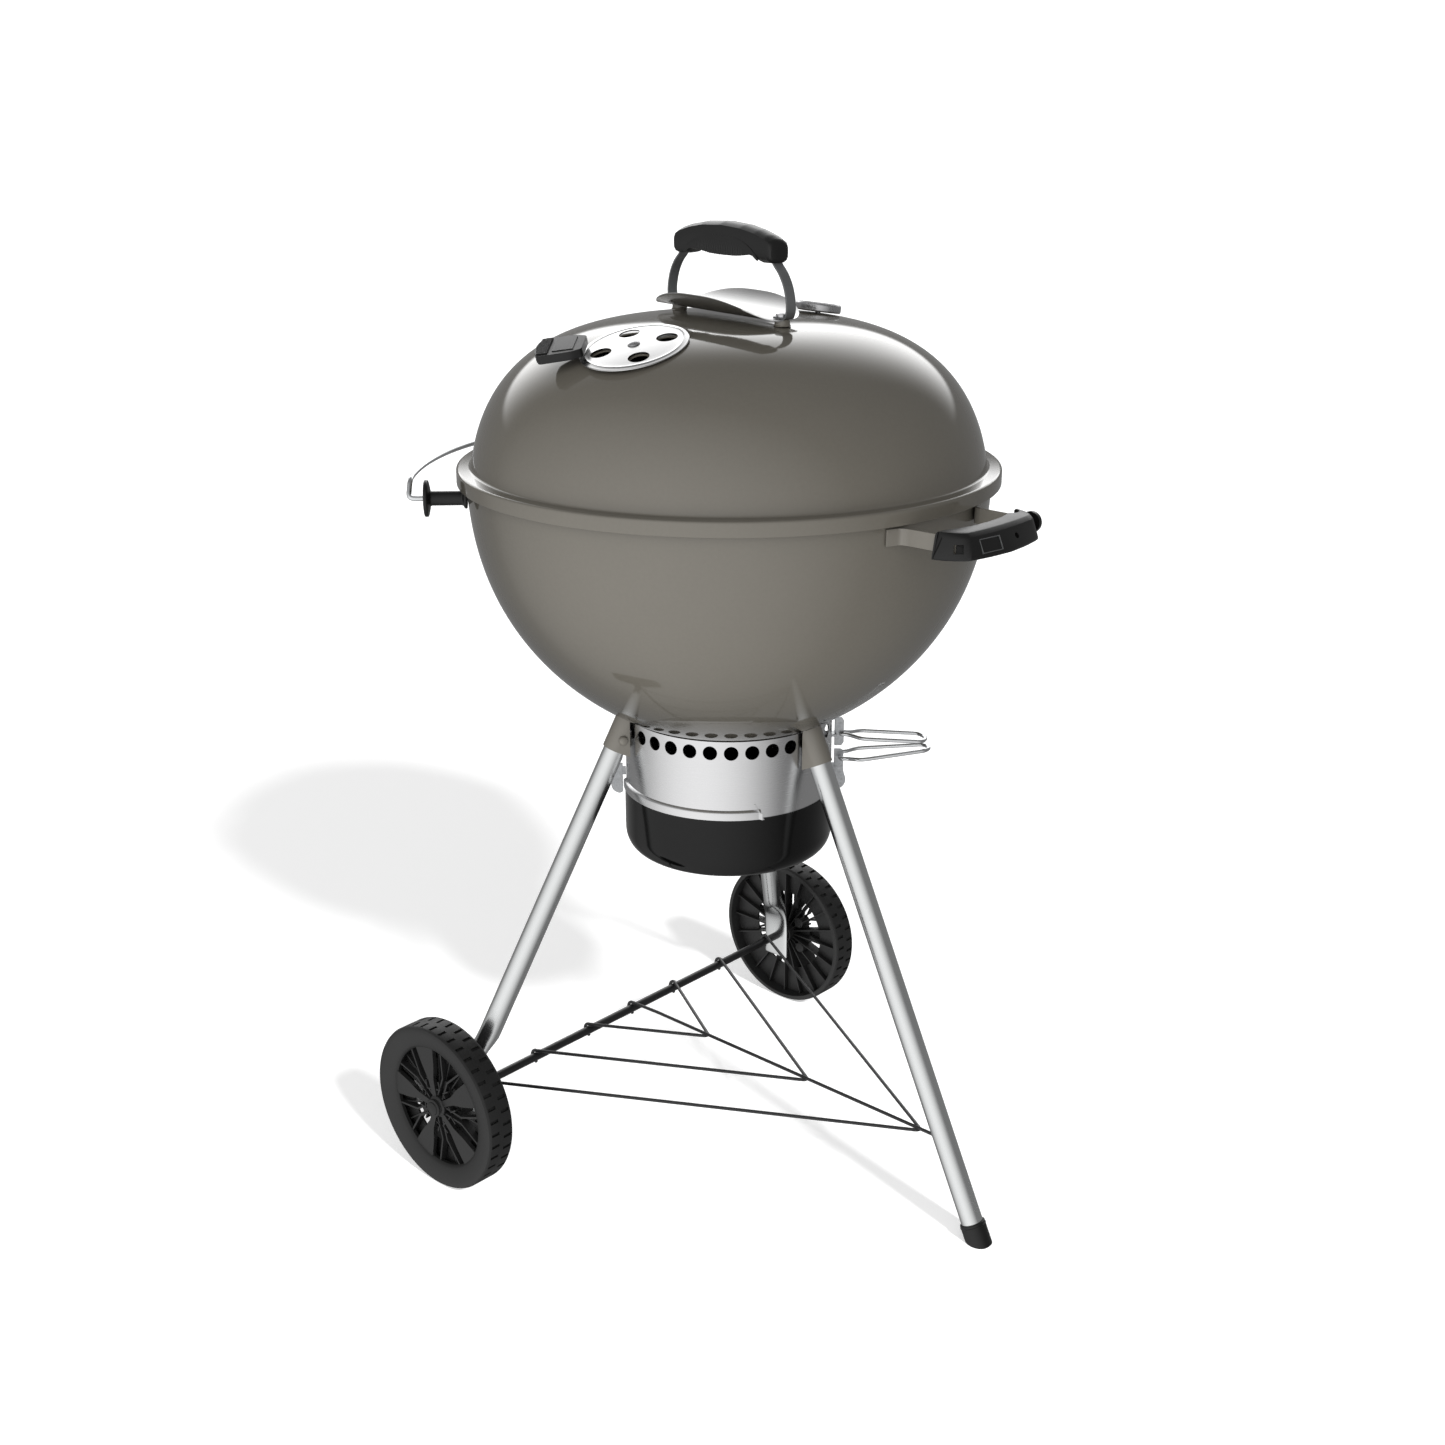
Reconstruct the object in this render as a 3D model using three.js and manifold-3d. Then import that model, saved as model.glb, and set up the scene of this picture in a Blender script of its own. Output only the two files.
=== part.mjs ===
// Kettle charcoal grill: enamelled bowl and lid on three tube legs, two wheels on an axle, a wire rack,
// an ash ring with a drop-off ash pan, a sweeping vent damper, grates, handles, a lid vent and a thermometer.
// Millimetres, +Z up. The lone front leg stands towards -Y and the axle runs along X behind the bowl.
import * as THREE from 'three';
import { mergeVertices } from 'three/addons/utils/BufferGeometryUtils.js';
import Module from 'manifold-3d';

const wasm = await Module();
wasm.setup();

// ---- Driving dimensions ----
const CENTRE_Y = 19.5; // moves the bowl axis so that the whole grill is centred on the origin
const GAP = 0.3; // clearance between pieces that touch
const SHEET = 1.6; // bowl and lid steel
const SHELL_SIDES = 48; // facets round the bowl and the lid
const BOWL = { radius: 284.7, depth: 315.7, equator: 826.5, widthPower: 1.745, depthPower: 2.313 };
const BOWL_RIM_Z = 812; // where the bowl wall meets its rolled rim
const LID = { radius: 282, depth: 204.7, equator: 776.3, widthPower: 3.256, depthPower: 2.404 };
const LID_LEDGE_Z = 825.5; // foot of the dome, where the lid steps out to its skirt
const SKIRT = { radius: 295, bottom: 809.5, sheet: 1.6 };
const RING = { radius: 118, bottom: 450.8, sheet: 1.4, holeZ: 528, holeRadius: 8, holes: 32, firstHole: -1.9 };
const PAN = { radius: 119.5, bottom: 376, top: 450.5, sheet: 1.4 };
const LEG = { radius: 12.4, sheet: 1.4, footReach: 372.8, slope: 0.4697, topZ: 526 };
const LEG_AZIMUTHS = { front: -90, right: 30, left: 150 };
const AXLE = { y: 163.2, z: 99.3, radius: 5, halfLength: 326 };
const WHEEL = { radius: 99.3, x: 310.4, width: 36.8 };
const RACK = { wire: 2, hooks: [[77, 31], [166, -126.7], [260, -290.3]], frontY: -306.2 };
const LEVER_AZIMUTH = -45; // damper lever and pan catch, between the front and right legs
const LID_HANDLE_AZIMUTH = -102;
const VENT = { radius: 162, azimuth: 186, disc: 56, holeCircle: 34, holeRadius: 11, tabAzimuth: 125 };
const THERMOMETER = { radius: 119, azimuth: -13, bezel: 25 };
const COOKING_GRATE = { z: 790, radius: 272, wire: 2.2, rim: 3, pitch: 30 };
const CHARCOAL_GRATE = { z: 640, radius: 216, wire: 3.2, rim: 3.2, pitch: 30 };

const rad = THREE.MathUtils.degToRad;
const vec = (x, y, z) => new THREE.Vector3(x, y, z);
const polar = (radius, azimuth, z) =>
  vec(radius * Math.cos(rad(azimuth)), radius * Math.sin(rad(azimuth)), z);

// ---- Solid helpers ----
function toSolid(geometry) {
  let bare = geometry.clone();
  bare.deleteAttribute('normal');
  bare.deleteAttribute('uv');
  bare = mergeVertices(bare, 1e-4);
  const points = Float32Array.from(bare.attributes.position.array);
  const faces = [];
  const index = bare.index.array;
  let volume = 0;
  const corner = (i) => vec(points[3 * i], points[3 * i + 1], points[3 * i + 2]);
  for (let i = 0; i < index.length; i += 3) {
    const [a, b, c] = [index[i], index[i + 1], index[i + 2]];
    if (a === b || b === c || c === a) continue;
    faces.push(a, b, c);
    volume += corner(a).dot(corner(b).cross(corner(c)));
  }
  if (volume < 0) faces.reverse();
  return new wasm.Manifold(
    new wasm.Mesh({ numProp: 3, vertProperties: points, triVerts: Uint32Array.from(faces) }));
}

function toGeometry(solid) {
  const mesh = solid.getMesh();
  const geometry = new THREE.BufferGeometry();
  geometry.setAttribute('position', new THREE.BufferAttribute(Float32Array.from(mesh.vertProperties), 3));
  geometry.setIndex([...mesh.triVerts]);
  return geometry;
}

const join = (...parts) => toGeometry(parts.map(toSolid).reduce((a, b) => a.add(b)));
const cut = (base, ...tools) =>
  toGeometry(tools.map(toSolid).reduce((a, b) => a.subtract(b), toSolid(base)));
const common = (a, b) => toGeometry(toSolid(a).intersect(toSolid(b)));

// Places geometry drawn about +Z at a point, with its own Z and X turned to the given directions.
function placed(geometry, origin, zAxis, xHint = vec(1, 0, 0)) {
  const z = zAxis.clone().normalize();
  const y = z.clone().cross(xHint).normalize();
  const matrix = new THREE.Matrix4().makeBasis(y.clone().cross(z), y, z).setPosition(origin);
  return geometry.clone().applyMatrix4(matrix);
}

const turned = (geometry, azimuth) => geometry.clone().rotateZ(rad(azimuth));
const moved = (geometry, x, y, z) => geometry.clone().translate(x, y, z);

// A profile of [radius, z] pairs spun about Z.
const revolved = (profile, segments) =>
  new THREE.LatheGeometry(profile.map(([r, z]) => new THREE.Vector2(r, z)), segments)
    .rotateX(Math.PI / 2);
const closedProfile = (profile) => [...profile, profile[0]];

const cylinder = (radius, z0, z1, sides = 16) =>
  new THREE.CylinderGeometry(radius, radius, z1 - z0, sides)
    .rotateX(Math.PI / 2).translate(0, 0, (z0 + z1) / 2);

const box = (x0, x1, y0, y1, z0, z1) =>
  new THREE.BoxGeometry(x1 - x0, y1 - y0, z1 - z0)
    .translate((x0 + x1) / 2, (y0 + y1) / 2, (z0 + z1) / 2);

const plate = (outline, z0, z1) =>
  new THREE.ExtrudeGeometry(new THREE.Shape(outline.map(([x, y]) => new THREE.Vector2(x, y))),
    { depth: z1 - z0, bevelEnabled: false }).translate(0, 0, z0);

// A plate drawn as [radius, z] outline, standing in the radial plane at an azimuth.
const fin = (outline, thickness, azimuth) =>
  turned(plate(outline, -thickness / 2, thickness / 2).rotateX(Math.PI / 2), azimuth);

// A ring sector about Z, the usual tool for cutting or keeping part of a turned piece.
function sector(r0, r1, halfAngle, z0, z1, azimuth) {
  const steps = Math.max(2, Math.ceil(halfAngle / 6));
  const arc = (radius, sign) => Array.from({ length: 2 * steps + 1 }, (_, i) => {
    const angle = rad(azimuth + sign * halfAngle * (i / steps - 1));
    return [radius * Math.cos(angle), radius * Math.sin(angle)];
  });
  return plate([...arc(r1, 1), ...arc(r0, -1)], z0, z1);
}

// A path through given points, so that a swept section turns exactly at each of them.
class Polyline extends THREE.Curve {
  constructor(points) {
    super();
    this.points = points;
  }
  getPoint(t) {
    const s = Math.min(t, 1) * (this.points.length - 1);
    const i = Math.min(Math.floor(s + 1e-9), this.points.length - 2);
    return this.points[i].clone().lerp(this.points[i + 1], s - i);
  }
  getPointAt(t) {
    return this.getPoint(t);
  }
  getTangentAt(t) {
    const i = Math.round(t * (this.points.length - 1));
    const last = this.points.length - 1;
    const before = this.points[Math.max(i, 1) - 1].clone().sub(this.points[Math.max(i, 1)]);
    const after = this.points[Math.min(i, last - 1) + 1].clone().sub(this.points[Math.min(i, last - 1)]);
    return after.normalize().sub(before.normalize()).normalize();
  }
}

function wire(points, radius, sides = 8) {
  const section = new THREE.Shape(Array.from({ length: sides }, (_, i) => {
    const angle = (i + 0.5) * 2 * Math.PI / sides;
    return new THREE.Vector2(radius * Math.cos(angle), radius * Math.sin(angle));
  }));
  const path = new Polyline(points);
  return new THREE.ExtrudeGeometry(section, { steps: points.length - 1, extrudePath: path });
}

// Rounds the corners of a path of points, each corner by its own three-point arc.
function rounded(points, reach, steps = 4) {
  const out = [points[0]];
  for (let i = 1; i < points.length - 1; i++) {
    const [a, b, c] = [points[i - 1], points[i], points[i + 1]];
    const size = Math.min(reach, a.distanceTo(b) / 2.2, c.distanceTo(b) / 2.2);
    const start = b.clone().add(a.clone().sub(b).setLength(size));
    const end = b.clone().add(c.clone().sub(b).setLength(size));
    const bend = new THREE.QuadraticBezierCurve3(start, b, end);
    out.push(...bend.getPoints(steps));
  }
  return [...out, points[points.length - 1]];
}

// The outline of a strip of sheet that follows a path of [x, y] points.
function stripOutline(path, thickness) {
  const side = (offset) => path.map(([x, y], i) => {
    const [ax, ay] = path[Math.max(i - 1, 0)];
    const [bx, by] = path[Math.min(i + 1, path.length - 1)];
    const length = Math.hypot(bx - ax, by - ay);
    return [x - offset * (by - ay) / length, y + offset * (bx - ax) / length];
  });
  return [...side(thickness / 2), ...side(-thickness / 2).reverse()];
}

// ---- Shell profiles ----
function shellPoint(shell, side, t, inset) {
  const at = (angle) => [
    shell.radius * Math.max(Math.cos(angle), 0) ** (2 / shell.widthPower),
    shell.equator + side * shell.depth * Math.sin(angle) ** (2 / shell.depthPower)];
  const [r, z] = at(t);
  const [r0, z0] = at(Math.max(t - 1e-3, 1e-4));
  const [r1, z1] = at(Math.min(t + 1e-3, Math.PI / 2));
  const length = Math.hypot(r1 - r0, z1 - z0);
  return [Math.max(r - inset * side * (z1 - z0) / length, 0), z + inset * side * (r1 - r0) / length];
}

// Points from the rim angle to the axis. The last one is put on the axis.
function shellCurve(shell, side, startZ, inset, count) {
  const start = Math.asin(((side * (startZ - shell.equator)) / shell.depth) ** (shell.depthPower / 2));
  const points = Array.from({ length: count }, (_, i) =>
    shellPoint(shell, side, start + (Math.PI / 2 - start) * (i / (count - 1)), inset));
  points[count - 1] = [0, shell.equator + side * (shell.depth - inset)];
  return points;
}

function bowlHeight(radius) {
  const angle = Math.acos((radius / BOWL.radius) ** (BOWL.widthPower / 2));
  return BOWL.equator - BOWL.depth * Math.sin(angle) ** (2 / BOWL.depthPower);
}

function lidHeight(radius) {
  const angle = Math.acos((radius / LID.radius) ** (LID.widthPower / 2));
  return LID.equator + LID.depth * Math.sin(angle) ** (2 / LID.depthPower);
}

function lidNormal(radius, azimuth) {
  const slope = (lidHeight(radius + 1) - lidHeight(radius - 1)) / 2;
  return polar(-slope, azimuth, 1).normalize();
}

// ---- Materials ----
const material = (name, color, roughness, metalness) => {
  const made = new THREE.MeshStandardMaterial({ color, roughness, metalness });
  made.name = name;
  return made;
};
const enamel = material('taupe_enamel', 0x706b62, 0.12, 0.0);
const socketPaint = material('taupe_paint', 0x777269, 0.35, 0.0);
const tube = material('leg_aluminium', 0xb9babb, 0.35, 1.0);
const ringMetal = material('ring_aluminium', 0xa9a9a8, 0.4, 1.0);
const zinc = material('zinc_plate', 0x8b8d8e, 0.5, 1.0);
const chrome = material('plated_wire', 0xc4c6c8, 0.2, 1.0);
const blackEnamel = material('black_enamel', 0x1b1b1c, 0.12, 0.0);
const blackWire = material('black_wire', 0x242425, 0.45, 0.0);
const blackPlastic = material('black_plastic', 0x2d2e2f, 0.55, 0.0);
const strapMetal = material('grey_strap', 0x5a5c5d, 0.45, 0.6);
const steel = material('steel', 0x9a9c9e, 0.3, 1.0);
const polished = material('polished_aluminium', 0xcfd0d0, 0.15, 1.0);
const dialWhite = material('dial_face', 0xe6e6e2, 0.5, 0.0);
const needleRed = material('needle_red', 0xb3271e, 0.5, 0.0);
const lensGlass = material('lens_glass', 0xdfe6e8, 0.05, 0.0);

const grill = new THREE.Group();
function add(name, geometry, look) {
  const mesh = new THREE.Mesh(moved(geometry, 0, CENTRE_Y, 0), look);
  mesh.name = name;
  grill.add(mesh);
}

// ---- Bowl with a rolled rim, a shaft hole and three ash openings ----
const ASH_OPENING = { inner: 30, outer: 74, halfAngle: 20 };
const bowlOuter = shellCurve(BOWL, -1, BOWL_RIM_Z, 0, 10);
const bowlInner = shellCurve(BOWL, -1, BOWL_RIM_Z, SHEET, 10);
const rolledRim = [[290.6, 812.6], [291.6, 815.6], [291.2, 820], [288, 822.9], [284.6, 822.9], [282.8, 820]];
const bowlShell = revolved([...bowlOuter.slice().reverse(), ...rolledRim, ...bowlInner], SHELL_SIDES);
const ashOpenings = [60, 180, 300].map((azimuth) =>
  sector(ASH_OPENING.inner, ASH_OPENING.outer, ASH_OPENING.halfAngle, 490, 560, azimuth));
add('bowl', cut(bowlShell, cylinder(5.6, 490, 540, 12), ...ashOpenings), enamel);

// ---- Legs in their sockets ----
const legX = (z) => LEG.footReach - LEG.slope * z;
const LEG_UP = vec(-LEG.slope, 0, 1).normalize();
const bowlBulk = revolved([[0, 900], ...shellCurve(BOWL, -1, BOWL_RIM_Z, -GAP, 10), [0, 900]], SHELL_SIDES);

// Everything on a leg is drawn for azimuth 0, along its sloping axis, and then turned into place.
const alongLeg = (geometry, z) => placed(geometry, vec(legX(z), 0, z), LEG_UP, vec(1, 0, 0));
const socketOuter = LEG.radius + GAP + 1.3;
const socketBlank = join(
  alongLeg(cylinder(socketOuter, 0, 60, 24), 506),
  alongLeg(box(-60, 0, -socketOuter, socketOuter, 0, 60), 506));
const socketHollow = join(
  alongLeg(cylinder(LEG.radius + GAP, -5, 70, 24), 506),
  alongLeg(box(-70, 0, -LEG.radius - GAP, LEG.radius + GAP, -5, 70), 506));
const legBoltHole = placed(cylinder(3.3, 0, 30, 12), vec(legX(520), 5, 520), vec(0, 1, 0));
const socket = cut(socketBlank, socketHollow, cylinder(122, 400, 640, 72), bowlBulk, legBoltHole);

// The bolt goes through the socket's side and the wall of the leg.
const legBolt = placed(join(cylinder(3, -3.4, 1, 12), cylinder(5.5, 0.3, 4.3, 6)),
  vec(legX(520), socketOuter, 520), vec(0, 1, 0));

const legLength = (bottomZ) => (LEG.topZ - bottomZ) / LEG_UP.z;
const frontLegBottom = 9;
const ringRoom = cylinder(121.5, 400, 640, 48); // legs and sockets are trimmed clear of the ash ring
const frontLeg = cut(
  alongLeg(cylinder(LEG.radius, 0, legLength(frontLegBottom), 24), frontLegBottom),
  alongLeg(cylinder(LEG.radius - LEG.sheet, -5, legLength(frontLegBottom) + 5, 24), frontLegBottom),
  legBoltHole, ringRoom);

// A rear leg is pinched flat at its foot into an upright paddle that the axle passes through.
const PADDLE = { startZ: 175, flatZ: 128, endZ: 71, halfThickness: 2.6, halfWidth: 19 };
function rearLeg(azimuth, grow) {
  const levels = [PADDLE.endZ, PADDLE.flatZ, 140, 152, 164, PADDLE.startZ, LEG.topZ];
  const base = new THREE.CylinderGeometry(1, 1, 1, 20, levels.length - 1);
  const position = base.attributes.position;
  const outward = polar(1, azimuth, 0);
  const across = polar(1, azimuth + 90, 0);
  const axisUp = outward.clone().multiplyScalar(-LEG.slope).setZ(1).normalize();
  const normalRound = axisUp.clone().cross(across).negate();
  const paddleX = vec(Math.sign(outward.x), 0, 0);
  const paddleY = vec(0, Math.sign(outward.x), 0);
  for (let i = 0; i < position.count; i++) {
    const level = Math.round((position.getY(i) + 0.5) * (levels.length - 1));
    const z = levels[level];
    const flat = 1 - THREE.MathUtils.smoothstep(z, PADDLE.flatZ, PADDLE.startZ);
    const c = Math.hypot(position.getX(i), position.getZ(i)) < 0.5 ? [0, 0]
      : [position.getX(i), position.getZ(i)];
    const a = THREE.MathUtils.lerp(LEG.radius, PADDLE.halfThickness, flat) + grow;
    const b = THREE.MathUtils.lerp(LEG.radius, PADDLE.halfWidth, flat) + grow;
    const first = normalRound.clone().lerp(paddleX, flat).normalize().multiplyScalar(a * c[0]);
    const second = across.clone().lerp(paddleY, flat).normalize().multiplyScalar(b * c[1]);
    const centre = outward.clone().multiplyScalar(legX(z)).setZ(z);
    const straight = vec(Math.sign(outward.x) * 282.6, AXLE.y, z);
    const paddleShare = 1 - THREE.MathUtils.smoothstep(z, AXLE.z, PADDLE.startZ);
    centre.lerp(straight, paddleShare);
    const point = centre.add(first).add(second);
    position.setXYZ(i, point.x, point.y, point.z);
  }
  return base;
}
const axleBore = placed(cylinder(AXLE.radius + GAP, -400, 400, 16), vec(0, AXLE.y, AXLE.z), vec(1, 0, 0),
  vec(0, 1, 0));

for (const [side, azimuth] of Object.entries(LEG_AZIMUTHS)) {
  add(`leg_socket_${side}`, turned(socket, azimuth), socketPaint);
  add(`leg_bolt_${side}`, turned(legBolt, azimuth), steel);
}
add('leg_front', turned(frontLeg, LEG_AZIMUTHS.front), tube);
for (const side of ['right', 'left']) {
  const azimuth = LEG_AZIMUTHS[side];
  const hollow = turned(alongLeg(
    cylinder(LEG.radius - LEG.sheet, 0, legLength(190) + 5, 24), 190), azimuth);
  add(`leg_${side}`, cut(rearLeg(azimuth, 0), hollow, axleBore, turned(legBoltHole, azimuth), ringRoom), tube);
}

const footCap = cut(
  alongLeg(cylinder(LEG.radius + GAP + 1.6, -20, 13, 24), 9),
  alongLeg(cylinder(LEG.radius + GAP, -GAP, 30, 24), 9),
  box(330, 420, -40, 40, -40, 0));
add('foot_cap', turned(footCap, LEG_AZIMUTHS.front), blackPlastic);

// ---- Axle, wheels and their retaining caps ----
const alongX = (geometry, x, y, z) => placed(geometry, vec(x, y, z), vec(1, 0, 0), vec(0, 0, 1));
add('axle', alongX(cylinder(AXLE.radius, -AXLE.halfLength, AXLE.halfLength, 16), 0, AXLE.y, AXLE.z), blackWire);

const half = WHEEL.width / 2;
const wheelProfile = closedProfile([
  [5.3, -half + 0.4], [15, -half + 0.4], [17, 5], [88, 5], [93, -half], [98, -half],
  [WHEEL.radius, -half + 2], [WHEEL.radius, half - 2], [98, half], [82, half], [78, 10.5],
  [22, 10.5], [20, half - 3], [5.3, half - 3]]);
const windows = [0, 72, 144, 216, 288].map((azimuth) => sector(34, 72, 23, -20, 20, azimuth + 18));
const wheel = cut(revolved(wheelProfile, 32), ...windows);
for (const [side, sign] of [['right', 1], ['left', -1]]) {
  const at = (geometry) => placed(geometry, vec(sign * WHEEL.x, AXLE.y, AXLE.z), vec(sign, 0, 0), vec(0, 0, 1));
  add(`wheel_${side}`, at(wheel), blackPlastic);
  const cap = cut(
    join(cylinder(11, half - 2.7, half - 0.4, 20), cylinder(8, half - 2.7, half + 1.2, 16)),
    cylinder(AXLE.radius + GAP, half - 10, AXLE.halfLength - WHEEL.x + GAP, 16));
  add(`axle_cap_${side}`, at(cap), blackPlastic);
}

// ---- Wire rack hooked over the axle ----
const hookReach = AXLE.radius + GAP + RACK.wire + 0.25;
const rackZ = AXLE.z + hookReach;
const hookPoints = (x) => [90, 54, 18, -18, -54, -90].map((angle) =>
  vec(x, AXLE.y + hookReach * Math.cos(rad(angle)), AXLE.z + hookReach * Math.sin(rad(angle))));
const spineZ = rackZ + 1.5; // the middle wire is welded across the tops of the chevrons
const rackWires = [wire(
  [vec(0, RACK.frontY, spineZ), vec(0, 120, spineZ), ...hookPoints(0)], RACK.wire, 6)];
for (const [x, apexY] of RACK.hooks) {
  const bend = rounded([vec(-x, AXLE.y, rackZ), vec(0, apexY, rackZ), vec(x, AXLE.y, rackZ)], 9, 2);
  rackWires.push(wire([...hookPoints(-x).slice(1).reverse(), ...bend, ...hookPoints(x).slice(1)],
    RACK.wire, 6));
}
add('wire_rack', join(...rackWires), blackWire);

// ---- Ash ring, its ears, the pan catch and the pan ----
const ringTop = bowlHeight(RING.radius - RING.sheet) - GAP;
const ringWall = revolved(closedProfile([
  [RING.radius - RING.sheet, RING.bottom], [RING.radius, RING.bottom],
  [RING.radius, ringTop], [RING.radius - RING.sheet, ringTop]]), 32);
const ringHoles = Array.from({ length: RING.holes / 2 }, (_, i) =>
  placed(cylinder(RING.holeRadius, -140, 140, 6), vec(0, 0, RING.holeZ),
    polar(1, i * 360 / RING.holes + RING.firstHole, 0), vec(0, 0, 1)));
const LEVER_SWEEP = [-4, 50];
const LEVER_Z = 507;
const slotCentre = LEVER_AZIMUTH + (LEVER_SWEEP[0] + LEVER_SWEEP[1]) / 2;
const leverSlot = sector(100, 130, (LEVER_SWEEP[1] - LEVER_SWEEP[0]) / 2 + 5, LEVER_Z - 4, LEVER_Z + 4, slotCentre);
const lip = cut(sector(RING.radius - 0.7, 121.4, 50, RING.bottom, 457.3, -171), cylinder(RING.radius - 0.7, 440, 470, 32));
const ringTab = cut(turned(plate([[116.8, -6], [125, -1], [125, 1], [116.8, 6]], RING.bottom, 468), -120.6),
  cylinder(RING.radius - 0.7, 440, 480, 32));
add('ash_ring', cut(join(ringWall, lip, ringTab), ...ringHoles, leverSlot), ringMetal);

// Each ear is a round-ended plate on the ring; the right one carries the catch's pivot wire.
const earOutline = (reach, top) => [
  [121.9, 441], [126, 439], [132, 441.5], [135.4, 447], [135.6, 453], [133.4, 459], [reach, 464],
  [reach, top - 4], [reach - 4, top], [121.9, top]];
const earFoot = [[RING.radius + GAP, 462], [124, 462], [124, 472], [RING.radius + GAP, 472]];
const CATCH = { r: 128, z: 480.4, wire: 2.3 };
const earRight = cut(
  join(fin(earOutline(132.6, 489), 3, LEVER_AZIMUTH), fin(earFoot, 3, LEVER_AZIMUTH)),
  placed(cylinder(CATCH.wire + GAP, -20, 20, 12), polar(CATCH.r, LEVER_AZIMUTH, CATCH.z),
    polar(1, LEVER_AZIMUTH + 90, 0), vec(0, 0, 1)));
const earLeft = join(fin(earOutline(130.5, 476), 3, LEVER_AZIMUTH + 180), fin(earFoot, 3, LEVER_AZIMUTH + 180));
add('ear_right', earRight, zinc);
add('ear_left', earLeft, zinc);

const atLever = (radius, side, z) =>
  polar(radius, LEVER_AZIMUTH, z).add(polar(side, LEVER_AZIMUTH + 90, 0));
const catchLoop = [
  atLever(CATCH.r, 0, CATCH.z), atLever(CATCH.r, 11.7, CATCH.z), atLever(136, 12, 480.5),
  atLever(151, 20, 481.5), atLever(227, 10.5, 488), atLever(233, 0, 488)];
const mirrored = (points) => points.map((point) => {
  const across = polar(1, LEVER_AZIMUTH + 90, 0);
  return point.clone().addScaledVector(across, -2 * point.dot(across));
});
const halfLoop = rounded(catchLoop, 8, 3);
add('pan_catch', join(wire(halfLoop, CATCH.wire, 6), wire(mirrored(halfLoop), CATCH.wire, 6)), steel);

const panOutline = (radius, bottom, corner) => [0, 30, 60, 90].map((a) =>
  [radius - corner + corner * Math.sin(rad(a)), bottom + corner - corner * Math.cos(rad(a))]);
add('ash_pan', revolved([
  [0, PAN.bottom], ...panOutline(PAN.radius, PAN.bottom, 11), [PAN.radius, PAN.top],
  [PAN.radius - PAN.sheet, PAN.top],
  ...panOutline(PAN.radius - PAN.sheet, PAN.bottom + PAN.sheet, 9.6).reverse(),
  [0, PAN.bottom + PAN.sheet]], 40), blackEnamel);

// ---- Vent damper: blades in the bowl, shaft, arm through the ring's slot, wire lever ----
const bladeOuter = shellCurve(BOWL, -1, BOWL_RIM_Z, SHEET + 0.5, 10).filter(([r]) => r < 160);
const bladeInner = shellCurve(BOWL, -1, BOWL_RIM_Z, SHEET + 2, 10).filter(([r]) => r < 160);
const bladeShell = revolved([...bladeOuter.slice().reverse(), ...bladeInner], SHELL_SIDES);
const bladeKeep = join(cylinder(20, 490, 600, 24),
  ...[0, 120, 240].map((azimuth) => sector(8, 104, 25, 490, 600, azimuth)));
const bladeTop = BOWL.equator - BOWL.depth + SHEET + 2;
add('damper_blades', cut(common(bladeShell, bladeKeep), cylinder(5.3, 490, 560, 16),
  cylinder(9.4, bladeTop, 560, 16)), steel);
add('damper_shaft', revolved([
  [0, LEVER_Z - 6], [9, LEVER_Z - 6], [9, LEVER_Z - 1.5 - GAP], [5, LEVER_Z - 1.5 - GAP],
  [5, bladeTop + GAP], [9, bladeTop + GAP],
  [9, bladeTop + 4], [0, bladeTop + 4]], 16), zinc);
const leverArm = cut(
  join(turned(plate([[-12, -7], [-12, 7], [124, 7], [124, -7]], LEVER_Z - 1.5, LEVER_Z + 1.5), LEVER_AZIMUTH),
    fin([[121.9, 493], [130, 493], [132.6, 497], [132.6, 523], [130, 527], [121.9, 527]], 3, LEVER_AZIMUTH)),
  cylinder(5.3, 490, 520, 16));
add('lever_arm', leverArm, zinc);
const leverWire = [
  atLever(127.5, 4.2, LEVER_Z + 1), atLever(138, 4.4, LEVER_Z), atLever(152, 14.6, 505.2),
  atLever(222, 14.6, 500.2), atLever(228.5, 0, 500)];
const leverHalf = rounded(leverWire, 9, 3);
add('damper_lever', join(wire(leverHalf, CATCH.wire, 8), wire(mirrored(leverHalf), CATCH.wire, 8)), steel);

// ---- Grates on riveted brackets ----
function grate({ z, radius, wire: thin, rim, pitch }, crossbars) {
  const hoop = revolved(closedProfile(Array.from({ length: 6 }, (_, i) => [
    radius - rim + rim * Math.cos(i * Math.PI / 3), z + rim * Math.sin(i * Math.PI / 3)])), 32);
  const parts = [hoop];
  for (let x = pitch / 2; x < radius - rim * 2; x += pitch) {
    const reach = Math.sqrt((radius - rim) ** 2 - x * x);
    for (const side of [-1, 1]) {
      parts.push(wire([vec(side * x, -reach, z + thin), vec(side * x, reach, z + thin)], thin, 4));
    }
  }
  for (const y of crossbars) {
    const reach = Math.sqrt((radius - rim) ** 2 - y * y);
    parts.push(wire([vec(-reach, y, z - thin), vec(reach, y, z - thin)], rim, 5));
  }
  return join(...parts);
}
const grateLoop = (side) => wire(rounded([
  vec(-38, side * 268, 790), vec(-38, side * 266, 806), vec(38, side * 266, 806), vec(38, side * 268, 790)],
10, 3), 2.6, 8);
const cookingGrate = join(grate(COOKING_GRATE, [-120, 120]), grateLoop(1), grateLoop(-1));
add('cooking_grate', cookingGrate, chrome);
add('charcoal_grate', grate(CHARCOAL_GRATE, [-90, 90]), steel);

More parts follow.
